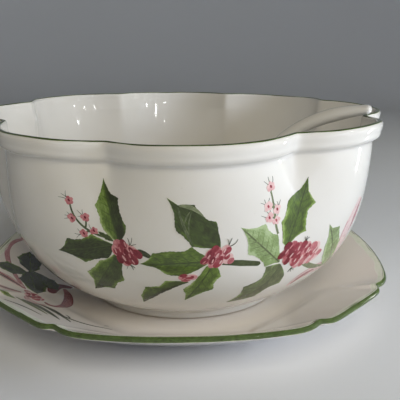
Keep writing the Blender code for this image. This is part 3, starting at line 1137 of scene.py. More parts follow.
@dataclass
class Ladle:
    """The ladle: a turned cup and a handle that arches up to hook over the bowl's rim.

    base is the height of its cup's bottom, and seat that of the tip's middle over it. low and high
    are shares of the way from the cup to the tip, out and up. tip_cap and slender are shares of
    the handle from its tip: how long the rounded end is, and where the handle has grown thick.
    """

    base: float
    seat: float
    turn: float
    offset: float = 0.008
    tip_reach: float = 0.1647
    cup_radius: float = 0.042
    cup_depth: float = 0.036
    cup_wall: float = 0.0035
    cup_flat: float = 0.014
    thickness: float = 0.0134
    tip_thickness: float = 0.0084
    width: float = 0.016
    root_drop: float = 0.016
    root_out: float = 0.0005
    low: Pair = (0.07, 0.87)
    high: Pair = (0.638, 0.962)
    taper: float = 0.26
    tip_cap: float = 0.035
    slender: float = 0.25
    cup_gap: float = 0.0012
    voxel: float = 0.0009

    def cup(self) -> Array:
        """Rings of the cup: a quarter of an ellipse up outside, a round rim, and one down inside.

        Returns:
            Rings x points x 3.
        """
        turn = np.linspace(0, math.pi / 2, 40)
        swell = self.cup_radius - self.cup_flat
        outer = np.column_stack([self.cup_flat + swell * np.sin(turn), self.cup_depth * (1 - np.cos(turn))])
        inner = np.column_stack([
            self.cup_flat + (swell - self.cup_wall) * np.sin(turn),
            self.cup_wall + (self.cup_depth - self.cup_wall) * (1 - np.cos(turn)),
        ])[::-1]
        edge = arc((self.cup_radius - self.cup_wall / 2, self.cup_depth), self.cup_wall / 2, 0, 180, 10)
        section = np.vstack([
            [POLE, 0.0], spaced(outer, self.cup_gap), edge[1:-1],
            spaced(inner, self.cup_gap), [POLE, self.cup_wall],
        ])
        return revolved(section, 128)

    def handle(self) -> Array:
        """Rings of the handle, from its tip to where it is sunk in the cup's wall.

        Returns:
            Rings x points x 3.
        """
        tip = np.array([self.tip_reach, self.seat])
        root = np.array([self.cup_radius + self.root_out, self.cup_depth - self.root_drop])
        span = tip - root
        cap = np.linspace(0, math.pi / 2, 12)[1:]
        share = np.concatenate([self.tip_cap * (1 - np.cos(cap)), np.linspace(self.tip_cap, 1, 90)[1:]])
        closing = np.concatenate([np.sin(cap), np.ones(89)])
        middle = bezier([tip, root + span * self.high, root + span * self.low, root], share)
        along = np.gradient(middle, share, axis=0)
        along /= np.linalg.norm(along, axis=1)[:, None]
        grown = ease(0, self.slender, share)
        size = closing * (1 - self.taper * share)
        thick = size * (self.tip_thickness + (self.thickness - self.tip_thickness) * grown) / 2
        wide = size * self.width / 2 * (1 + 0.25 * ease(0.9, 1.0, share))
        angle = 2 * math.pi * np.arange(48) / 48
        rise = np.outer(thick, np.sin(angle))
        out = middle[:, :1] - along[:, 1:] * rise
        up = middle[:, 1:] + along[:, :1] * rise
        return np.stack([out, np.outer(wide, np.cos(angle)), up], axis=-1)

    def build(self, name: str, material: bpy.types.Material) -> bpy.types.Object:
        """Joins cup and handle into one skin by a voxel remesh, and smooths it.

        Args:
            name: the piece's name.
            material: its finish.

        Returns:
            The finished piece.
        """
        joined = Shape.joined([Shape.skin(self.cup()), Shape.skin(self.handle())])
        rough = joined.piece(name + "_rough", material)
        remesh = rough.modifiers.new("Remesh", "REMESH")
        remesh.mode = "VOXEL"
        remesh.voxel_size = self.voxel
        evaluated = rough.evaluated_get(bpy.context.evaluated_depsgraph_get())
        mesh = evaluated.to_mesh()
        points = np.empty(len(mesh.vertices) * 3)
        mesh.vertices.foreach_get("co", points)
        corners = np.array([p.vertices[:] for p in mesh.polygons])
        edges = np.empty(len(mesh.edges) * 2, int)
        mesh.edges.foreach_get("vertices", edges)
        evaluated.to_mesh_clear()
        bpy.data.objects.remove(rough)
        points = self.smoothed(points.reshape(-1, 3), edges.reshape(-1, 2))
        points[:, 0] += self.offset
        points[:, :2] = points[:, :2] @ np.array(axes(self.turn))
        points[:, 2] += self.base
        return Shape(points, [corners]).piece(name, material, 180.0)

    @staticmethod
    def smoothed(points: Array, edges: Array, times: int = 14) -> Array:
        """Moves each point towards the mean of its neighbours and back a little more, many times.

        Args:
            points: the points.
            edges: pairs of neighbours, by number.
            times: how often this is done.

        Returns:
            The smoothed points.
        """
        both = np.vstack([edges, edges[:, ::-1]])
        count = np.bincount(both[:, 0], minlength=len(points))[:, None]
        for _ in range(times):
            for pull in (0.55, -0.56):
                total = [np.bincount(both[:, 0], points[both[:, 1], k], len(points)) for k in range(3)]
                points = points + (np.stack(total, axis=1) / count - points) * pull
        return points


# ---------------------------------------------------------------------------------------------
# Brushwork


Spine = tuple[float, float, float]


@dataclass(frozen=True)
class Leaf:
    """A holly leaf: where its base is, which way it points (90 is up), its size and its spines.

    left and right run from the base to the tip. Each spine is a share of the length, a share of
    the half width, and how deep the edge before it is hollowed, as a share of that edge; a
    swelling edge is less than 0. tones are the left half's and the right half's. neck is the base's
    share of the half width.
    """

    at: Pair
    heading: float
    length: float
    width: float
    tones: Pair
    left: tuple[Spine, ...]
    right: tuple[Spine, ...]
    bend: float = 0.0
    pot: Pot = Pot.LEAF
    neck: float = 0.05

    def bow(self, share: Array) -> Array:
        """How far the midrib lies left of a straight line, at shares of the leaf's length."""
        return self.bend * self.length * 4 * share * (1 - share)


@dataclass(frozen=True)
class Sweep:
    """A long stroke along a Bezier curve, given as steps from its start, with widths along it."""

    at: Pair
    path: tuple[Pair, ...]
    widths: tuple[float, ...]
    tone: float


@dataclass(frozen=True)
class Cluster:
    """Berries dabbed close together in an oval, paler towards its right by fade.

    Each whisker is a tuft of three hairs: its root's two steps from the middle, its heading and
    its length. slant is the heading of the dabs.
    """

    at: Pair
    size: Pair
    heading: float
    berries: int
    tone: float
    fade: float = 0.0
    berry: float = 0.0075
    slant: float = -60.0
    whiskers: tuple[tuple[float, float, float, float], ...] = ()


@dataclass(frozen=True)
class Spray:
    """A thin stem along a Bezier curve with little pink flowers, all as steps from its start.

    tone is the stem's and pink the flowers', and tuft is the length of the hairs at a flower.
    """

    at: Pair
    stem: tuple[Pair, ...]
    flowers: tuple[Pair, ...]
    flower: float = 0.0062
    tone: float = 0.45
    pink: float = 0.86
    tuft: float = 0.0080


@dataclass(frozen=True)
class Brush:
    """A loaded brush: the piece that its strokes go to, its colour and where their plans begin."""

    part: str
    pot: Pot
    at: Pair


@dataclass
class Brushwork:
    """Paint on one glazed surface, laid coat over coat.

    lift is how far the first coat stands off the glaze, coat how much farther each next one does,
    and sink how deep a stroke's underside lies in the glaze. hair, stem and twig are widths at the
    root and the tip. curl is how far a hair leaves its straight line at most, and fan holds the
    headings of a tuft's hairs. layers are the coats of a cluster: how many dabs in thirds of its
    berries, their size in berries, their tone, how far out they reach and how slim they are.
    lengths and slimness are what a dab's length and width are drawn from, and shift, swing and
    shade how far its place, its heading and its tone may stray. petal is what a petal's size is
    drawn from, and eye the size of a flower's middle, both in flowers.
    """

    ground: Ground
    turn: float
    seed: int
    lift: float = 0.00006
    coat: float = 0.000005
    sink: float = 0.00020
    hair: Pair = (0.00060, 0.0002)
    hair_tone: float = 0.16
    curl: float = 0.35
    fan: tuple[float, ...] = (-32, 4, 36)
    stem: Pair = (0.0020, 0.0013)
    twig: Pair = (0.0016, 0.0011)
    lengths: Pair = (0.8, 1.25)
    slimness: Pair = (0.58, 0.80)
    shift: float = 0.0005
    swing: float = 16
    shade: float = 0.14
    petals: int = 5
    petal: Pair = (0.50, 0.78)
    petal_reach: float = 0.24
    eye: Pair = (0.40, 0.26)
    eye_darker: float = 0.66
    gap: float = 0.0012
    layers: tuple[tuple[int, float, float, float, float], ...] = (
        (3, 1.45, 0.62, 0.34, 1.0),
        (3, 1.00, 0.18, 0.40, 1.0),
        (2, 0.62, 0.78, 0.40, 0.4),
    )
    shapes: dict[tuple[str, Pot], list[Shape]] = field(default_factory=dict)
    coats: int = 0
    random: np.random.Generator = field(init=False)

    def __post_init__(self) -> None:
        """Starts the painter's own random numbers."""
        self.random = np.random.default_rng(self.seed)

    def stroke(self, brush: Brush, left: Array, middle: Array, right: Array, tones: float | Pair,
               across: int, leaf: Leaf | None = None) -> None:
        """Lays one stroke as a thin closed body that follows the ground.

        Args:
            brush: the brush.
            left: the stroke's left edge, in metres from the place where the plan begins.
            middle: its middle line.
            right: its right edge.
            tones: how light it is, from 0 to 1, or how light its left and its right half are.
            across: how many columns each half has.
            leaf: the leaf that the stroke makes, whose own axes the finish then follows.
        """
        share = np.linspace(1, -1, 2 * across + 1)
        half = np.where(share[None, :, None] > 0, (left - middle)[:, None], (right - middle)[:, None])
        top = middle[:, None] + half * np.abs(share)[None, :, None]
        plan = np.concatenate([top, top[:, ::-1]], axis=1)
        place, normal = self.ground.lay((brush.at[0] + self.turn, brush.at[1]), plan)
        above = np.concatenate([np.ones(len(share)), np.zeros(len(share))])
        height = self.lift + self.coat * self.coats
        rings = place + normal * np.where(above > 0, height, -self.sink)[None, :, None]
        along = travelled(middle)
        number = self.random.uniform(0, 50)
        sideways = np.concatenate([share, share[::-1]])
        reach = np.linalg.norm(left - right, axis=1) / 2
        grid = np.broadcast_to(along[:, None], rings.shape[:2])
        off = reach[:, None] * sideways
        length = along[-1]
        tone = np.full(grid.shape, tones if leaf is None else 0.0)
        if leaf is not None:
            forward, leftward = axes(math.radians(leaf.heading))
            length = leaf.length
            grid = plan @ forward
            off = plan @ leftward - leaf.bend * 4 * grid * (1 - grid / length)
            tone = tones[1] + (tones[0] - tones[1]) * ease(-0.0016, 0.0016, off)
        made = Shape.skin(rings, {
            "brush": np.stack([grid / length, np.broadcast_to(sideways, grid.shape), tone], axis=-1),
            "laid": np.stack([grid, off, np.full(grid.shape, number)], axis=-1),
        })
        self.shapes.setdefault((brush.part, brush.pot), []).append(made)
        self.coats += 1

    def line(self, brush: Brush, path: Array, width: Array, tone: float, across: int = 2) -> None:
        """Lays a stroke of some widths along a middle line.

        Args:
            brush: the brush.
            path: the middle line.
            width: how wide the stroke is at each point.
            tone: how light it is.
            across: how many columns each half has.
        """
        along = np.gradient(path, axis=0)
        along /= np.maximum(np.linalg.norm(along, axis=1), 1e-9)[:, None]
        side = np.column_stack([-along[:, 1], along[:, 0]]) * width[:, None] / 2
        self.stroke(brush, path + side, path, path - side, tone, across)

    def sweep(self, part: str, pot: Pot, sweep: Sweep) -> None:
        """Lays a long stroke, whose two ends are rounded.

        Args:
            part: the piece that it goes to.
            pot: its colour.
            sweep: the stroke.
        """
        path = spaced(bezier([(0.0, 0.0), *sweep.path], 80), self.gap)
        share = np.linspace(0, 1, len(path))
        width = np.interp(share, np.linspace(0, 1, len(sweep.widths)), sweep.widths)
        ends = np.minimum(travelled(path), travelled(path)[::-1]) / np.maximum(width / 2, 1e-6)
        width = width * np.sqrt(1 - (1 - np.clip(ends, 0.02, 1)) ** 2)
        self.line(Brush(part, pot, sweep.at), path, width, sweep.tone, 4)

    def dab(self, brush: Brush, middle: Pair, length: float, width: float, heading: float,
            tone: float) -> None:
        """Lays an oval dab, whose width runs as sqrt(1 - t^2) along it.

        Args:
            brush: the brush.
            middle: its middle.
            length: its length.
            width: its width.
            heading: which way it points.
            tone: how light it is.
        """
        t = np.cos(np.linspace(math.pi, 0, 13))[1:-1]
        path = np.array(middle) + np.outer(t * length / 2, axes(math.radians(heading))[0])
        self.line(brush, path, width * np.sqrt(1 - t**2), tone, 3)

    def leaf(self, part: str, leaf: Leaf, steps: int = 72, shake: float = 0.00022,
             fineness: float = 900) -> None:
        """Lays a holly leaf.

        Between two spines the edge leaves their chord by hollow * chord * 4 t (1 - t), towards the
        midrib. The whole edge also wavers a little, as a hand does.

        Args:
            part: the piece that the leaf goes to.
            leaf: the leaf.
            steps: how many points each edge has.
            shake: how far an edge wavers, in metres.
            fineness: how fast it wavers, in radians to a metre.
        """
        forward, sideways = axes(math.radians(leaf.heading))
        t = np.linspace(0, 1, 13)[:-1, None]
        edges = []
        for spines, side in ((leaf.left, 1), (leaf.right, -1)):
            knots = np.array([(0.0, leaf.neck, 0.0), *spines])
            knots[:, :2] *= (leaf.length, leaf.width / 2)
            chords = np.diff(knots[:, :2], axis=0)
            inward = np.column_stack([chords[:, 1], -chords[:, 0]]) * knots[1:, 2:]
            parts = [low + chord * t + dent * 4 * t * (1 - t)
                     for low, chord, dent in zip(knots[:-1, :2], chords, inward)]
            edge = np.vstack([*parts, knots[-1:, :2]])
            gone = travelled(edge)
            even = np.linspace(0, gone[-1], steps)
            edge = np.column_stack([np.interp(even, gone, edge[:, k]) for k in range(2)])
            wave = even * fineness + self.random.uniform(0, 6)
            waver = np.sin(wave) + np.sin(wave * 2.3 + side)
            edge[:, 1] += shake * waver * np.sin(even / gone[-1] * math.pi)
            out = side * np.maximum(edge[:, 1], 0.0001) + leaf.bow(edge[:, 0] / leaf.length)
            edges.append(np.outer(edge[:, 0], forward) + np.outer(out, sideways))
        share = np.linspace(0, 1, steps)
        rib = np.outer(share * leaf.length, forward) + np.outer(leaf.bow(share), sideways)
        self.stroke(Brush(part, leaf.pot, leaf.at), edges[0], rib, edges[1], leaf.tones, 7, leaf)

    def whisker(self, brush: Brush, root: Array, heading: float, length: float) -> None:
        """Lays a fine dark hair that curls a little and runs out to a point.

        Args:
            brush: the brush.
            root: where it starts.
            heading: which way it points.
            length: its length.
        """
        curl = self.random.uniform(-self.curl, self.curl)
        ahead = axes(math.radians(heading))[0] * length
        side = np.array([-ahead[1], ahead[0]]) * curl
        path = bezier([root, root + ahead * 0.5 + side, root + ahead], 12)
        self.line(brush, path, np.linspace(*self.hair, 12), self.hair_tone)

    def tuft(self, brush: Brush, root: Array, heading: float, length: float) -> None:
        """Lays three hairs that fan out from one place.

        Args:
            brush: the brush.
            root: that place.
            heading: which way the middle one points.
            length: their length.
        """
        for swing in self.fan:
            hair = length * self.random.uniform(0.7, 1.1)
            self.whisker(brush, root, heading + swing + self.random.uniform(-8, 8), hair)

    def cluster(self, part: str, cluster: Cluster) -> None:
        """Lays a cluster: tufts, a pale wash, crimson dabs that slant alike, and pale touches.

        Args:
            part: the piece that it goes to.
            cluster: the cluster.
        """
        spin = np.array(axes(math.radians(cluster.heading)))
        for across, up, heading, length in cluster.whiskers:
            self.tuft(Brush("stems", Pot.STEM, cluster.at), np.array([across, up]), heading, length)
        brush = Brush(part, Pot.BERRY, cluster.at)
        under = self.coats
        for thirds, size, tone, reach, slimmer in self.layers:
            count = cluster.berries * thirds // 3
            order = np.arange(count) + 0.5
            out = np.sqrt(order / count) * reach
            angle = order * GOLDEN_ANGLE + self.random.uniform(0, 6)
            spots = np.column_stack([out * np.cos(angle), out * np.sin(angle)]) * cluster.size
            spots = spots + self.random.normal(0, self.shift, spots.shape)
            for spot, (across, up) in zip(spots, spots @ spin):
                length = size * cluster.berry * self.random.uniform(*self.lengths)
                heading = cluster.slant + self.random.uniform(-self.swing, self.swing)
                paler = cluster.fade * spot[0] / cluster.size[0] * 2
                shade = tone + cluster.tone + paler + self.random.uniform(-self.shade, self.shade)
                slim = self.random.uniform(*self.slimness) * slimmer
                self.dab(brush, (across, up), length, length * slim, heading, shade)
        self.coats = under

    def spray(self, part: str, flowers: str, spray: Spray) -> None:
        """Lays a thin stem, a twig and a tuft to each flower, and the flowers.

        Args:
            part: the piece that the stem goes to.
            flowers: the piece that the flowers go to.
            spray: the spray.
        """
        green, pink = Brush(part, Pot.STEM, spray.at), Brush(flowers, Pot.BERRY, spray.at)
        stem = bezier([(0.0, 0.0), *spray.stem], 30)
        self.line(green, stem, np.linspace(*self.stem, 30), spray.tone)
        under = self.coats
        for place in spray.flowers:
            self.coats = under
            end = np.array(place)
            root = stem[np.argmin(np.linalg.norm(stem - end, axis=1) + np.linalg.norm(stem, axis=1) * 0.55)]
            twig = bezier([root, (root + end) / 2 + (end - root)[::-1] * (0.15, -0.15), end], 14)
            self.line(green, twig, np.linspace(*self.twig, 14), spray.tone)
            away = end - stem[0]
            self.tuft(green, end, math.degrees(math.atan2(away[1], away[0])), spray.tuft)
            for k in range(self.petals):
                turn = math.radians(360 / self.petals * k + self.random.uniform(0, 50))
                spot = end + axes(turn)[0] * spray.flower * self.petal_reach
                petal = self.random.uniform(*self.petal) * spray.flower
                shade = spray.pink + self.random.uniform(-0.10, 0.08)
                self.dab(pink, spot, petal, petal * 0.8, math.degrees(turn), shade)
            length, width = (spray.flower * share for share in self.eye)
            self.dab(pink, end, length, width, -60, spray.pink - self.eye_darker)

    def pieces(self, prefix: str, body: str, finishes: dict[Pot, bpy.types.Material]) -> None:
        """Makes the laid paint into pieces that ride on a body.

        Args:
            prefix: how the pieces' names begin.
            body: the body.
            finishes: the material of each colour.
        """
        for (part, pot), shapes in self.shapes.items():
            made = Shape.joined(shapes).piece(f"{prefix}_{part}", finishes[pot], 35.0)
            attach(made, body)
            log.info("%s: %d strokes", made.name, len(shapes))


@dataclass(frozen=True)
class Painting:
    """A painted spray of holly: what is laid, from its farthest coats to its nearest.

    Places on the bowl are degrees from the painting's middle and metres up the wall. Places on
    the underplate are bearings and metres from its middle. Each leaf comes after the name of the
    piece that it goes to.
    """

    leaves: tuple[tuple[str, Leaf], ...]
    stems: tuple[Sweep, ...]
    clusters: tuple[Cluster, ...]
    sprays: tuple[Spray, ...]
    ribbons: tuple[Sweep, ...]
    marks: tuple[Sweep, ...] = ()

    def paint(self, work: Brushwork) -> None:
        """Lays the painting from its farthest coats to its nearest.

        Args:
            work: the brushwork that it goes to.
        """
        for ribbon in self.ribbons:
            work.sweep("ribbon", Pot.RIBBON, ribbon)
        for stem in self.stems:
            work.sweep("stems", Pot.STEM, stem)
        for spray in self.sprays:
            work.spray("stems", "flowers", spray)
        for part, leaf in self.leaves:
            work.leaf(part, leaf)
        for mark in self.marks:
            work.sweep("marks", Pot.STEM, mark)
        for cluster in self.clusters:
            work.cluster("berries", cluster)


GARLAND = Painting(
    leaves=(
        ("left_leaves", Leaf(
            (-26.9, 0.1118), 193.5, 0.0505, 0.026, (0.08, 0.14),
            ((0.16, 0.84, -0.08), (0.58, 1.00, 0.06), (1.0, 0.0, 0.07)),
            ((0.29, 0.88, 0.02), (0.72, 0.82, 0.12), (0.81, 0.40, -0.02), (1.0, 0.0, 0.05)))),
        ("left_leaves", Leaf(
            (-25.5, 0.106), 237, 0.057, 0.032, (0.18, 0.42),
            ((0.10, 0.42, 0.0), (0.43, 1.00, 0.06), (0.54, 0.78, 0.03), (0.72, 0.84, 0.03),
             (0.80, 0.40, 0.02), (1.0, 0.0, 0.0)),
            ((0.18, 0.25, 0.0), (0.32, 0.58, 0.05), (0.65, 0.80, 0.05), (0.74, 0.34, -0.03),
             (1.0, 0.0, 0.03)))),
        ("left_leaves", Leaf(
            (-25.0, 0.1155), 104.5, 0.0500, 0.0225, (0.50, 0.08),
            ((0.14, 0.70, -0.10), (0.33, 0.96, -0.05), (0.62, 1.00, 0.06), (1.0, 0.0, 0.05)),
            ((0.22, 0.90, -0.10), (0.67, 0.84, 0.07), (0.74, 0.34, -0.04), (1.0, 0.0, 0.04)))),
        ("left_leaves", Leaf(
            (-26.6, 0.1150), 150, 0.014, 0.0048, (0.14, 0.18),
            ((0.45, 0.9, -0.08), (1.0, 0.0, -0.05)), ((0.40, 0.9, -0.08), (1.0, 0.0, -0.05)))),
        ("middle_leaves", Leaf(
            (-2.1, 0.102), 185, 0.052, 0.029, (0.40, 0.44),
            ((0.22, 0.58, -0.02), (0.44, 0.90, -0.04), (0.64, 0.74, -0.02), (0.79, 0.22, 0.03),
             (1.0, 0.0, -0.02)),
            ((0.15, 0.58, -0.03), (0.25, 1.00, 0.04), (0.40, 0.73, 0.08), (0.62, 0.78, -0.02),
             (0.81, 0.68, 0.02), (0.87, 0.32, 0.0), (1.0, 0.0, 0.04)))),
        ("middle_leaves", Leaf(
            (-7.7, 0.080), 225, 0.050, 0.0225, (0.02, 0.34),
            ((0.33, 0.24, 0.0), (0.70, 0.26, 0.0), (1.0, 0.0, 0.0)),
            ((0.09, 0.36, 0.0), (0.24, 0.76, -0.02), (0.39, 0.46, 0.06), (0.58, 1.00, 0.03),
             (0.83, 0.62, 0.03), (1.0, 0.0, 0.05)), -0.12)),
        ("middle_leaves", Leaf(
            (-1.5, 0.098), 248, 0.048, 0.026, (0.42, 0.52),
            ((0.03, 0.36, 0.0), (0.20, 0.87, -0.03), (0.37, 0.76, 0.05), (0.53, 1.00, 0.03),
             (0.71, 0.46, 0.04), (1.0, 0.0, 0.02)),
            ((0.07, 0.32, 0.0), (0.48, 0.46, 0.03), (0.68, 0.68, 0.03), (0.80, 0.30, -0.02),
             (1.0, 0.0, 0.0)))),
        ("middle_leaves", Leaf(
            (-0.1, 0.1125), 133, 0.0565, 0.026, (0.22, 0.16),
            ((0.16, 0.60, 0.05), (0.28, 1.00, 0.03), (0.59, 0.96, 0.06), (0.76, 0.40, -0.04),
             (1.0, 0.0, 0.04)),
            ((0.10, 0.40, 0.0), (0.33, 1.00, 0.02), (0.45, 0.72, 0.03), (0.70, 0.82, 0.06),
             (0.84, 0.16, -0.03), (1.0, 0.0, 0.0)))),
        ("pale_leaves", Leaf(
            (18.0, 0.0905), 137, 0.056, 0.0295, (0.70, 0.78),
            ((0.07, 0.24, 0.0), (0.15, 0.71, 0.0), (0.34, 0.57, 0.06), (0.58, 0.78, 0.07),
             (0.73, 0.34, 0.0), (1.0, 0.0, 0.05)),
            ((0.22, 0.55, 0.0), (0.41, 1.00, 0.0), (0.57, 0.82, 0.06), (0.73, 0.96, 0.06),
             (0.80, 0.54, 0.0), (1.0, 0.0, 0.06)), 0.0, Pot.SAGE)),
        ("pale_leaves", Leaf(
            (18.6, 0.088), 235, 0.055, 0.033, (0.36, 0.44),
            ((0.13, 0.80, -0.05), (0.30, 1.00, -0.02), (0.47, 0.52, 0.05), (0.71, 0.66, 0.03),
             (1.0, 0.0, -0.02)),
            ((0.14, 0.87, -0.02), (0.34, 0.58, 0.04), (0.58, 1.00, 0.03), (0.71, 0.56, 0.0),
             (1.0, 0.0, 0.03)),
            0.12, Pot.SAGE)),
        ("right_leaves", Leaf(
            (19.2, 0.105), 72, 0.056, 0.0295, (0.40, 0.34),
            ((0.04, 0.38, 0.0), (0.32, 1.00, 0.03), (0.44, 0.86, 0.03), (0.63, 0.92, -0.02),
             (0.81, 0.27, -0.01), (1.0, 0.0, 0.04)),
            ((0.14, 0.38, 0.0), (0.27, 0.93, 0.06), (0.40, 0.70, 0.04), (0.56, 0.56, 0.03),
             (0.69, 0.88, 0.06), (0.82, 0.25, 0.02), (1.0, 0.0, 0.02)))),
        ("pale_leaves", Leaf(
            (44.6, 0.0655), 124.8, 0.062, 0.036, (0.76, 0.70),
            ((0.18, 0.50, 0.0), (0.43, 0.60, 0.0), (0.65, 0.46, 0.0), (0.80, 0.20, 0.0), (1.0, 0.0, 0.0)),
            ((0.03, 0.26, 0.0), (0.25, 0.38, 0.0), (0.45, 0.55, 0.05), (0.80, 0.53, 0.06),
             (0.90, 0.10, 0.03), (1.0, 0.0, 0.0)), 0.0, Pot.SAGE)),
    ),
    stems=(
        Sweep((-20.4, 0.1092), ((0.005, -0.001), (0.0105, -0.005)), (0.0044, 0.0050, 0.0034), 0.26),
        Sweep((0.3, 0.0997), ((0.015, -0.002), (0.033, -0.0066)), (0.0046, 0.0060, 0.0046), 0.30),
        Sweep((27.0, 0.0847), ((0.014, -0.013), (0.034, -0.018), (0.048, -0.020)),
              (0.0050, 0.0056, 0.0040, 0.0030), 0.66),
    ),
    clusters=(
        Cluster((-23.6, 0.1055), (0.026, 0.021), -35, 11, -0.06, -0.06, 0.0078, -62,
                ((0.004, 0.007, 62, 0.0085), (0.001, -0.009, -72, 0.0085))),
        Cluster((-0.4, 0.1050), (0.029, 0.018), 10, 11, 0.10, 0.22, 0.0066, 62,
                ((0.007, 0.009, 66, 0.0090),)),
        Cluster((-7.9, 0.0855), (0.010, 0.006), 0, 3, 0.04, 0.0, 0.0060, 20),
        Cluster((25.2, 0.0938), (0.056, 0.026), -17, 24, 0.12, 0.46, 0.0076, 64,
                ((0.002, 0.012, 80, 0.0052), (-0.003, -0.013, -100, 0.0058))),
    ),
    sprays=(
        Spray((-28.0, 0.1176), ((-0.012, 0.001), (-0.027, 0.009), (-0.0280, 0.0260)),
              ((-0.0285, 0.0284), (-0.0275, 0.0140), (-0.0171, 0.0155), (-0.0192, 0.0020), (-0.0110, 0.0049)),
              0.0064, 0.42, 0.62),
        Spray((15.7, 0.1179), ((-0.006, 0.012), (-0.006, 0.024), (-0.0110, 0.0352)),
              ((-0.0113, 0.0390), (-0.0126, 0.0242), (-0.0035, 0.0206), (-0.0105, 0.0152), (-0.0035, 0.0118)),
              0.0072, 0.66, 0.96),
    ),
    ribbons=(
        Sweep((46.5, 0.132), ((-0.010, -0.018), (-0.012, -0.036), (0.004, -0.064)),
              (0.0060, 0.0160, 0.0170, 0.0050), 0.90),
        Sweep((47.5, 0.130), ((-0.004, -0.012), (-0.004, -0.030)), (0.0030, 0.0070, 0.0020), 0.34),
        Sweep((44.5, 0.0620), ((-0.016, 0.0075), (-0.036, 0.0075), (-0.042, -0.003), (-0.0400, -0.0135)),
              (0.0090, 0.0135, 0.0140, 0.0110, 0.0030), 0.86),
        Sweep((37.0, 0.0650), ((-0.010, 0.002), (-0.019, -0.004), (-0.0200, -0.0135)),
              (0.0016, 0.0046, 0.0048, 0.0012), 0.26),
        Sweep((66.0, 0.098), ((-0.016, 0.030), (-0.040, 0.018), (-0.020, -0.010)),
              (0.0050, 0.0110, 0.0090, 0.0040), 0.60),
        Sweep((66.0, 0.098), ((0.018, 0.032), (0.042, 0.014), (0.020, -0.012)),
              (0.0050, 0.0110, 0.0090, 0.0040), 0.70),
        Sweep((66.0, 0.098), ((0.010, -0.020), (0.004, -0.040), (0.024, -0.056)),
              (0.0040, 0.0080, 0.0070, 0.0020), 0.60),
        Sweep((65.0, 0.100), ((0.004, 0.001), (0.007, -0.003)), (0.0080, 0.0100, 0.0080), 0.30),
    ),
    marks=(
        Sweep((-6.6, 0.1172), ((-0.0060, 0.0116), (-0.0085, 0.0219), (-0.0106, 0.0300)),
              (0.0010, 0.0022, 0.0018, 0.0008), 0.44),
        Sweep((-9.7, 0.1482), ((0.0060, 0.0000), (0.0105, -0.0010), (0.0172, -0.0085)),
              (0.0014, 0.0034, 0.0024, 0.0006), 0.70),
        Sweep((-7.4, 0.1235), ((-0.0014, 0.0115), (0.0014, 0.0199)), (0.0004, 0.0012, 0.0006), 0.46),
        Sweep((-8.6, 0.1330), ((0.0010, 0.0060), (0.0044, 0.0110)), (0.0004, 0.0012, 0.0004), 0.52),
    ),
)

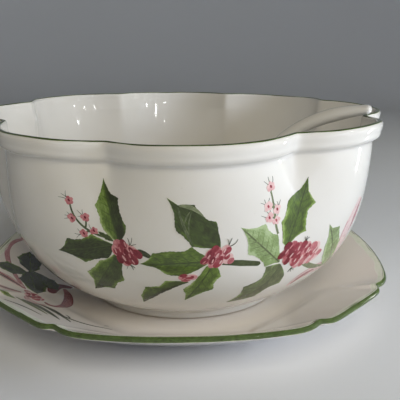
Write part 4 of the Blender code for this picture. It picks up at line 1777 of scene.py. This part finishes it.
CORNER_SPRIG = Painting(
    leaves=(
        ("leaves", Leaf(
            (-171.0, 0.156), -74, 0.031, 0.024, (0.10, 0.22),
            ((0.25, 0.62, 0.0), (0.48, 1.00, 0.06), (0.78, 0.72, 0.06), (1.0, 0.0, 0.04)),
            ((0.22, 0.66, 0.0), (0.55, 0.95, 0.06), (1.0, 0.0, 0.06)))),
        ("leaves", Leaf(
            (-172.5, 0.154), 188, 0.044, 0.025, (0.0, 0.03),
            ((0.24, 0.80, 0.0), (0.50, 1.00, 0.08), (0.74, 0.62, 0.06), (1.0, 0.0, 0.04)),
            ((0.28, 0.72, 0.0), (0.62, 1.00, 0.08), (0.82, 0.45, 0.05), (1.0, 0.0, 0.04)))),
        ("leaves", Leaf(
            (-174.0, 0.154), 50, 0.038, 0.025, (0.08, 0.12),
            ((0.22, 0.55, 0.0), (0.52, 0.96, 0.08), (0.78, 0.72, 0.06), (1.0, 0.0, 0.04)),
            ((0.26, 0.80, 0.0), (0.58, 1.00, 0.08), (0.82, 0.55, 0.05), (1.0, 0.0, 0.04)))),
        ("leaves", Leaf(
            (-172.5, 0.155), 16, 0.046, 0.027, (0.02, 0.05),
            ((0.24, 0.80, 0.0), (0.50, 1.00, 0.08), (0.76, 0.72, 0.06), (1.0, 0.0, 0.04)),
            ((0.20, 0.60, 0.0), (0.46, 0.95, 0.08), (0.80, 0.55, 0.05), (1.0, 0.0, 0.04)))),
        ("leaves", Leaf(
            (-149.0, 0.1850), 36, 0.018, 0.008, (0.70, 0.78),
            ((0.40, 1.0, -0.08), (1.0, 0.0, -0.05)), ((0.50, 1.0, -0.08), (1.0, 0.0, -0.05)))),
    ),
    stems=(
        Sweep((-145.0, 0.1690), ((0.010, 0.008), (0.028, 0.012), (0.054, 0.012)),
              (0.0020, 0.0056, 0.0044, 0.0010), 0.26),
        Sweep((-142.0, 0.1610), ((0.004, 0.010), (0.024, 0.011), (0.050, 0.009)),
              (0.0016, 0.0052, 0.0040, 0.0010), 0.12),
        Sweep((-146.5, 0.1730), ((0.010, 0.004), (0.026, 0.009), (0.046, 0.012)),
              (0.0012, 0.0044, 0.0036, 0.0008), 0.66),
        Sweep((-141.5, 0.1880), ((0.008, 0.008), (0.018, 0.014), (0.038, 0.016)),
              (0.0008, 0.0024, 0.0018, 0.0005), 0.42),
        Sweep((-130.5, 0.1540), ((0.014, 0.002), (0.030, 0.005), (0.032, 0.018), (0.039, 0.021)),
              (0.0010, 0.0024, 0.0018, 0.0014, 0.0005), 0.12),
        Sweep((-127.6, 0.1520), ((-0.005, 0.004), (-0.010, 0.004)), (0.0012, 0.0016, 0.0005), 0.10),
        Sweep((-118.7, 0.1350), ((-0.001, 0.002), (0.001, 0.005)), (0.0010, 0.0012, 0.0005), 0.12),
        Sweep((-158.5, 0.1625), ((-0.006, -0.008), (-0.010, -0.014), (-0.014, -0.022)),
              (0.0010, 0.0020, 0.0020, 0.0010), 0.10),
        Sweep((-152.5, 0.1640), ((-0.002, -0.008), (-0.002, -0.014), (-0.004, -0.022)),
              (0.0010, 0.0020, 0.0016, 0.0008), 0.30),
    ),
    clusters=(
        Cluster((-150.6, 0.1545), (0.027, 0.014), 8, 9, 0.20, 0.0, 0.0068, -35),
    ),
    sprays=(),
    ribbons=(
        Sweep((-157.0, 0.159), ((-0.030, -0.006), (-0.075, -0.022), (-0.100, 0.004), (-0.109, 0.017)),
              (0.0030, 0.0046, 0.0050, 0.0040, 0.0030), 0.48),
        Sweep((-158.0, 0.160), ((-0.006, -0.006), (-0.012, -0.012), (-0.016, -0.022)),
              (0.0040, 0.0080, 0.0100, 0.0080), 0.88),
        Sweep((-157.4, 0.160), ((-0.008, -0.005), (-0.013, -0.011), (-0.019, -0.020)),
              (0.0020, 0.0030, 0.0034, 0.0020), 0.30),
        Sweep((-152.0, 0.164), ((-0.002, -0.008), (-0.004, -0.016), (-0.006, -0.020)),
              (0.0040, 0.0070, 0.0070, 0.0060), 0.72),
        Sweep((-159.0, 0.134), ((-0.014, 0.001), (-0.026, 0.009), (-0.014, 0.021)),
              (0.0070, 0.0110, 0.0100, 0.0040), -0.16),
        Sweep((-165.1, 0.122), ((0.020, 0.008), (0.066, 0.002), (0.066, -0.014), (0.050, -0.018)),
              (0.0030, 0.0080, 0.0100, 0.0060, 0.0020), 0.28),
        Sweep((-149.6, 0.162), ((0.012, -0.002), (0.024, 0.002), (0.021, 0.012)),
              (0.0030, 0.0060, 0.0060, 0.0030), 0.84),
        Sweep((-156.5, 0.158), ((0.010, 0.003), (0.020, 0.004)), (0.0060, 0.0080, 0.0050), 0.60),
    ),
)


@dataclass
class EdgeLine:
    """A green line brushed along an edge, as a closed band round a sheet.

    low and high are the rows that it runs between, wander is how many rows each edge strays, and
    steps how many points lie across it. half_width is half its width as its finish sees it.
    """

    sheet: Sheet
    low: float
    high: float
    wander: float
    tone: float
    seed: int
    lift: float = 0.00012
    sink: float = 0.00020
    steps: int = 9
    half_width: float = 0.0015

    def build(self) -> Shape:
        """The band. Each edge wanders by a sum of a few sines with chance phases.

        Returns:
            The band as one closed skin.
        """
        random = np.random.default_rng(self.seed)
        columns = self.sheet.points.shape[1]
        angle = 2 * math.pi * np.arange(columns) / columns

        def wandering() -> Array:
            """A smooth closed curve between about -1 and 1.

            Returns:
                One value for each column.
            """
            rates = (3, 7, 13, 24, 41)
            waves = [
                math.cos(k) * np.sin(rate * angle + random.uniform(0, 6)) for k, rate in enumerate(rates)
            ]
            return np.sum(waves, axis=0) / 2

        low = self.low + self.wander * wandering()
        high = self.high + self.wander * wandering()
        share = np.linspace(0, 1, self.steps)
        row = low + (high - low) * np.concatenate([share, share[::-1]])[:, None]
        place, normal = self.sheet.at(np.broadcast_to(np.arange(columns), row.shape), row)
        above = np.concatenate([np.full(len(share), self.lift), np.full(len(share), -self.sink)])
        rings = place + normal * above[:, None, None]
        sideways = np.concatenate([share, share[::-1]])[:, None] * 2 - 1
        along = travelled(place[len(share) // 2])[None, :]
        flat = np.zeros(row.shape)
        brush = np.stack([flat, flat + sideways, flat + self.tone], axis=-1)
        laid = np.stack([flat + along, flat + sideways * self.half_width, flat + self.seed], axis=-1)
        return Shape.skin(rings, {"brush": brush, "laid": laid}, ring_closed=True)


# ---------------------------------------------------------------------------------------------
# Studio


WHITE = (1.0, 1.0, 1.0)


@dataclass(frozen=True)
class Lamp:
    """A soft light that faces the middle of the bowl.

    side is its bearing in degrees, from the viewer towards the right, and up its angle over the
    horizon. A lamp with gloss shows in the glaze, and one without plain only shows there.
    """

    name: str
    side: float
    up: float
    power: float
    colour: Colour
    reach: float = 1.5
    size: Pair = (0.7, 0.7)
    gloss: bool = False
    plain: bool = True

    def hang(self, aim: float) -> None:
        """Puts the light up.

        Args:
            aim: the height that it faces.
        """
        lamp = bpy.data.lights.new(self.name, "AREA")
        lamp.shape = "RECTANGLE"
        lamp.size, lamp.size_y = self.size
        lamp.energy = self.power
        lamp.color = self.colour
        turn, rise = math.radians(self.side), math.radians(self.up)
        made = bpy.data.objects.new(self.name, lamp)
        made.location = (
            self.reach * math.cos(rise) * math.sin(turn),
            -self.reach * math.cos(rise) * math.cos(turn),
            self.reach * math.sin(rise) + aim,
        )
        made.rotation_euler = (math.radians(90) - rise, 0.0, turn)
        made.visible_camera = False
        made.visible_glossy = self.gloss
        made.visible_diffuse = self.plain
        bpy.context.scene.collection.objects.link(made)


@dataclass
class Studio:
    """A round pale dish, soft lights and a camera that looks down on the bowl from close by.

    aim is the height that the lights face. panes are the bearings and the angles up of small lights
    that glint in the glaze, and bright_table a low one that puts a streak on a lobe.
    """

    aim: float = 0.10
    flat: float = 1.7
    bend: float = 0.8
    wall_top: float = 2.6
    camera_at: tuple[float, float, float] = (0.0154, -0.5723, 0.2529)
    camera_down: float = 15.46
    lens: float = 53.8
    columns: int = 96
    floor: Colour = (0.74, 0.75, 0.77)
    floor_roughness: float = 0.75
    sky: Colour = (0.80, 0.82, 0.85)
    sky_strength: float = 0.02
    lamps: tuple[Lamp, ...] = (
        Lamp("window", 70, 12, 17.6, (0.77, 0.85, 1.0)),
        Lamp("front_fill", 10, 38, 7.9, (1.0, 0.93, 0.77)),
        Lamp("side_fill", 100, 12, 2.9, (1.0, 0.92, 0.50)),
        Lamp("back_fill", -150, 30, 0.8, (1.0, 0.94, 0.88)),
    )
    panes: tuple[Pair, ...] = ((47, 25.0), (27, 24.8), (68, 21.4), (102, 4.8), (90, 6.4))
    pane_power: float = 0.22
    pane_size: Pair = (0.070, 0.018)
    bright_table: Lamp = Lamp("bright_table", 91, -5.8, 0.12, WHITE, 0.59, (0.014, 0.075), True, False)

    def dish(self) -> None:
        """A floor that curves up all round: flat, a quarter of a circle, then upright."""
        material = Bench("studio_dish").finish(
            Base_Color=self.floor, Roughness=self.floor_roughness, Specular_IOR_Level=0.0
        )
        turn = np.linspace(0, math.pi / 2, 24)
        section = np.vstack([
            [[0.002, 0.0]],
            np.column_stack([self.flat + self.bend * np.sin(turn), self.bend * (1 - np.cos(turn))]),
            [[self.flat + self.bend, self.wall_top]],
        ])
        rings = revolved(section, self.columns)
        index = np.arange(len(rings) * self.columns).reshape(-1, self.columns)
        ahead = np.roll(index, -1, axis=1)
        faces = np.stack([index[:-1], ahead[:-1], ahead[1:], index[1:]], axis=-1).reshape(-1, 4)
        middle = index[0][None, :]
        points = rings.reshape(-1, 3)
        shape = Shape(points, [faces[:, ::-1], middle])
        shape.piece("studio_floor", material, 180.0)

    def lights(self) -> None:
        """A low broad window at the right, faint fills, small panes, the bright table and a dim sky."""
        for lamp in self.lamps:
            lamp.hang(self.aim)
        for k, (side, up) in enumerate(self.panes):
            pane = Lamp(f"pane_{k}", side, up, self.pane_power, WHITE, 1.5, self.pane_size, True, False)
            pane.hang(self.aim)
        self.bright_table.hang(self.aim)
        world = bpy.data.worlds.new("studio")
        world.use_nodes = True
        background = world.node_tree.nodes["Background"]
        background.inputs["Color"].default_value = (*self.sky, 1.0)
        background.inputs["Strength"].default_value = self.sky_strength
        bpy.context.scene.world = world

    def camera(self) -> None:
        """The camera, which looks along +Y and down."""
        lens = bpy.data.cameras.new("camera")
        lens.lens = self.lens
        lens.sensor_width = 36.0
        made = bpy.data.objects.new("camera", lens)
        made.location = self.camera_at
        made.rotation_euler = (math.radians(90 - self.camera_down), 0.0, 0.0)
        bpy.context.scene.collection.objects.link(made)
        bpy.context.scene.camera = made

    def build(self) -> None:
        """Sets up the whole studio."""
        self.camera()
        self.dish()
        self.lights()
        bpy.context.scene.view_settings.view_transform = "Standard"


def place_piece(piece: bpy.types.Object, node: str) -> None:
    """Lets a piece stand for a CAD node and ride on the body of the same name.

    Args:
        piece: the visible piece.
        node: the node's and the body's name.
    """
    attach(piece, node)
    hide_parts(node)
    log.info("%s stands for %s", piece.name, node)


def main() -> None:
    """Builds the studio, then the glazed pieces and their brushwork."""
    logging.basicConfig(level=logging.INFO, format="%(name)s: %(message)s")
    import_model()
    Studio().build()

    low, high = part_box("punch_bowl")
    bowl = PunchBowl(low.z, high.z - low.z)
    glaze = IvoryGlaze("ivory_glaze", (0.80, 0.775, 0.725), low.z)
    place_piece(bowl.build().piece("glazed_bowl", glaze.material()), "punch_bowl")

    low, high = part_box("underplate")
    plate = Underplate(high.z)
    # Lighter than the bowl's glaze: partly a creamier glaze of its own, partly painted light that brightens
    # the plate where it lies in shade.
    glaze = IvoryGlaze("underplate_glaze", (0.93, 0.875, 0.815), low.z, (0.80, 0.74, 0.66))
    place_piece(plate.build().piece("glazed_underplate", glaze.material()), "underplate")

    low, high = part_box("ladle")
    ladle = Ladle(low.z, high.z - low.z - Ladle.tip_thickness / 2, bowl.cusp_angle)
    glaze = IvoryGlaze("ladle_glaze", (0.79, 0.765, 0.71), low.z - 1.0)  # no clay shows
    place_piece(ladle.build("glazed_ladle", glaze.material()), "ladle")

    finishes = {pot: pot.value[0].material() for pot in Pot}
    for painting, ground, body, name, turn, seed in (
        (GARLAND, bowl, "punch_bowl", "front", -80.0, 3),
        (GARLAND, bowl, "punch_bowl", "back", 100.0, 8),
        (CORNER_SPRIG, plate, "underplate", "plate_left", 0.0, 4),
        (CORNER_SPRIG, plate, "underplate", "plate_right", 225.0, 6),
    ):
        work = Brushwork(ground, turn, seed)
        painting.paint(work)
        work.pieces(name, body, finishes)

    rim, crest = bowl.rim_row, plate.crest_row
    for name, body, pot, line in (
        ("rim_line", "punch_bowl", Pot.LINE,
         EdgeLine(bowl.sheet, rim + 4.6, rim + 11.2, wander=0.45, tone=0.16, seed=5)),
        ("lip_line", "underplate", Pot.LINE,
         EdgeLine(plate.sheet, 3.2, crest + 0.6, wander=0.6, tone=0.24, seed=9)),
        # A pale band inside the lip: partly the green line's halo, partly painted highlight where the glaze
        # shines.
        ("lip_halo_and_painted_highlight", "underplate", Pot.HALO_AND_PAINTED_HIGHLIGHT,
         EdgeLine(plate.sheet, crest - 1.0, crest + 3.2, wander=0.9, tone=0.56, seed=12, lift=0.00006)),
    ):
        made = line.build().piece(name, finishes[pot], 60.0)
        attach(made, body)


if __name__ == "__main__":
    main()
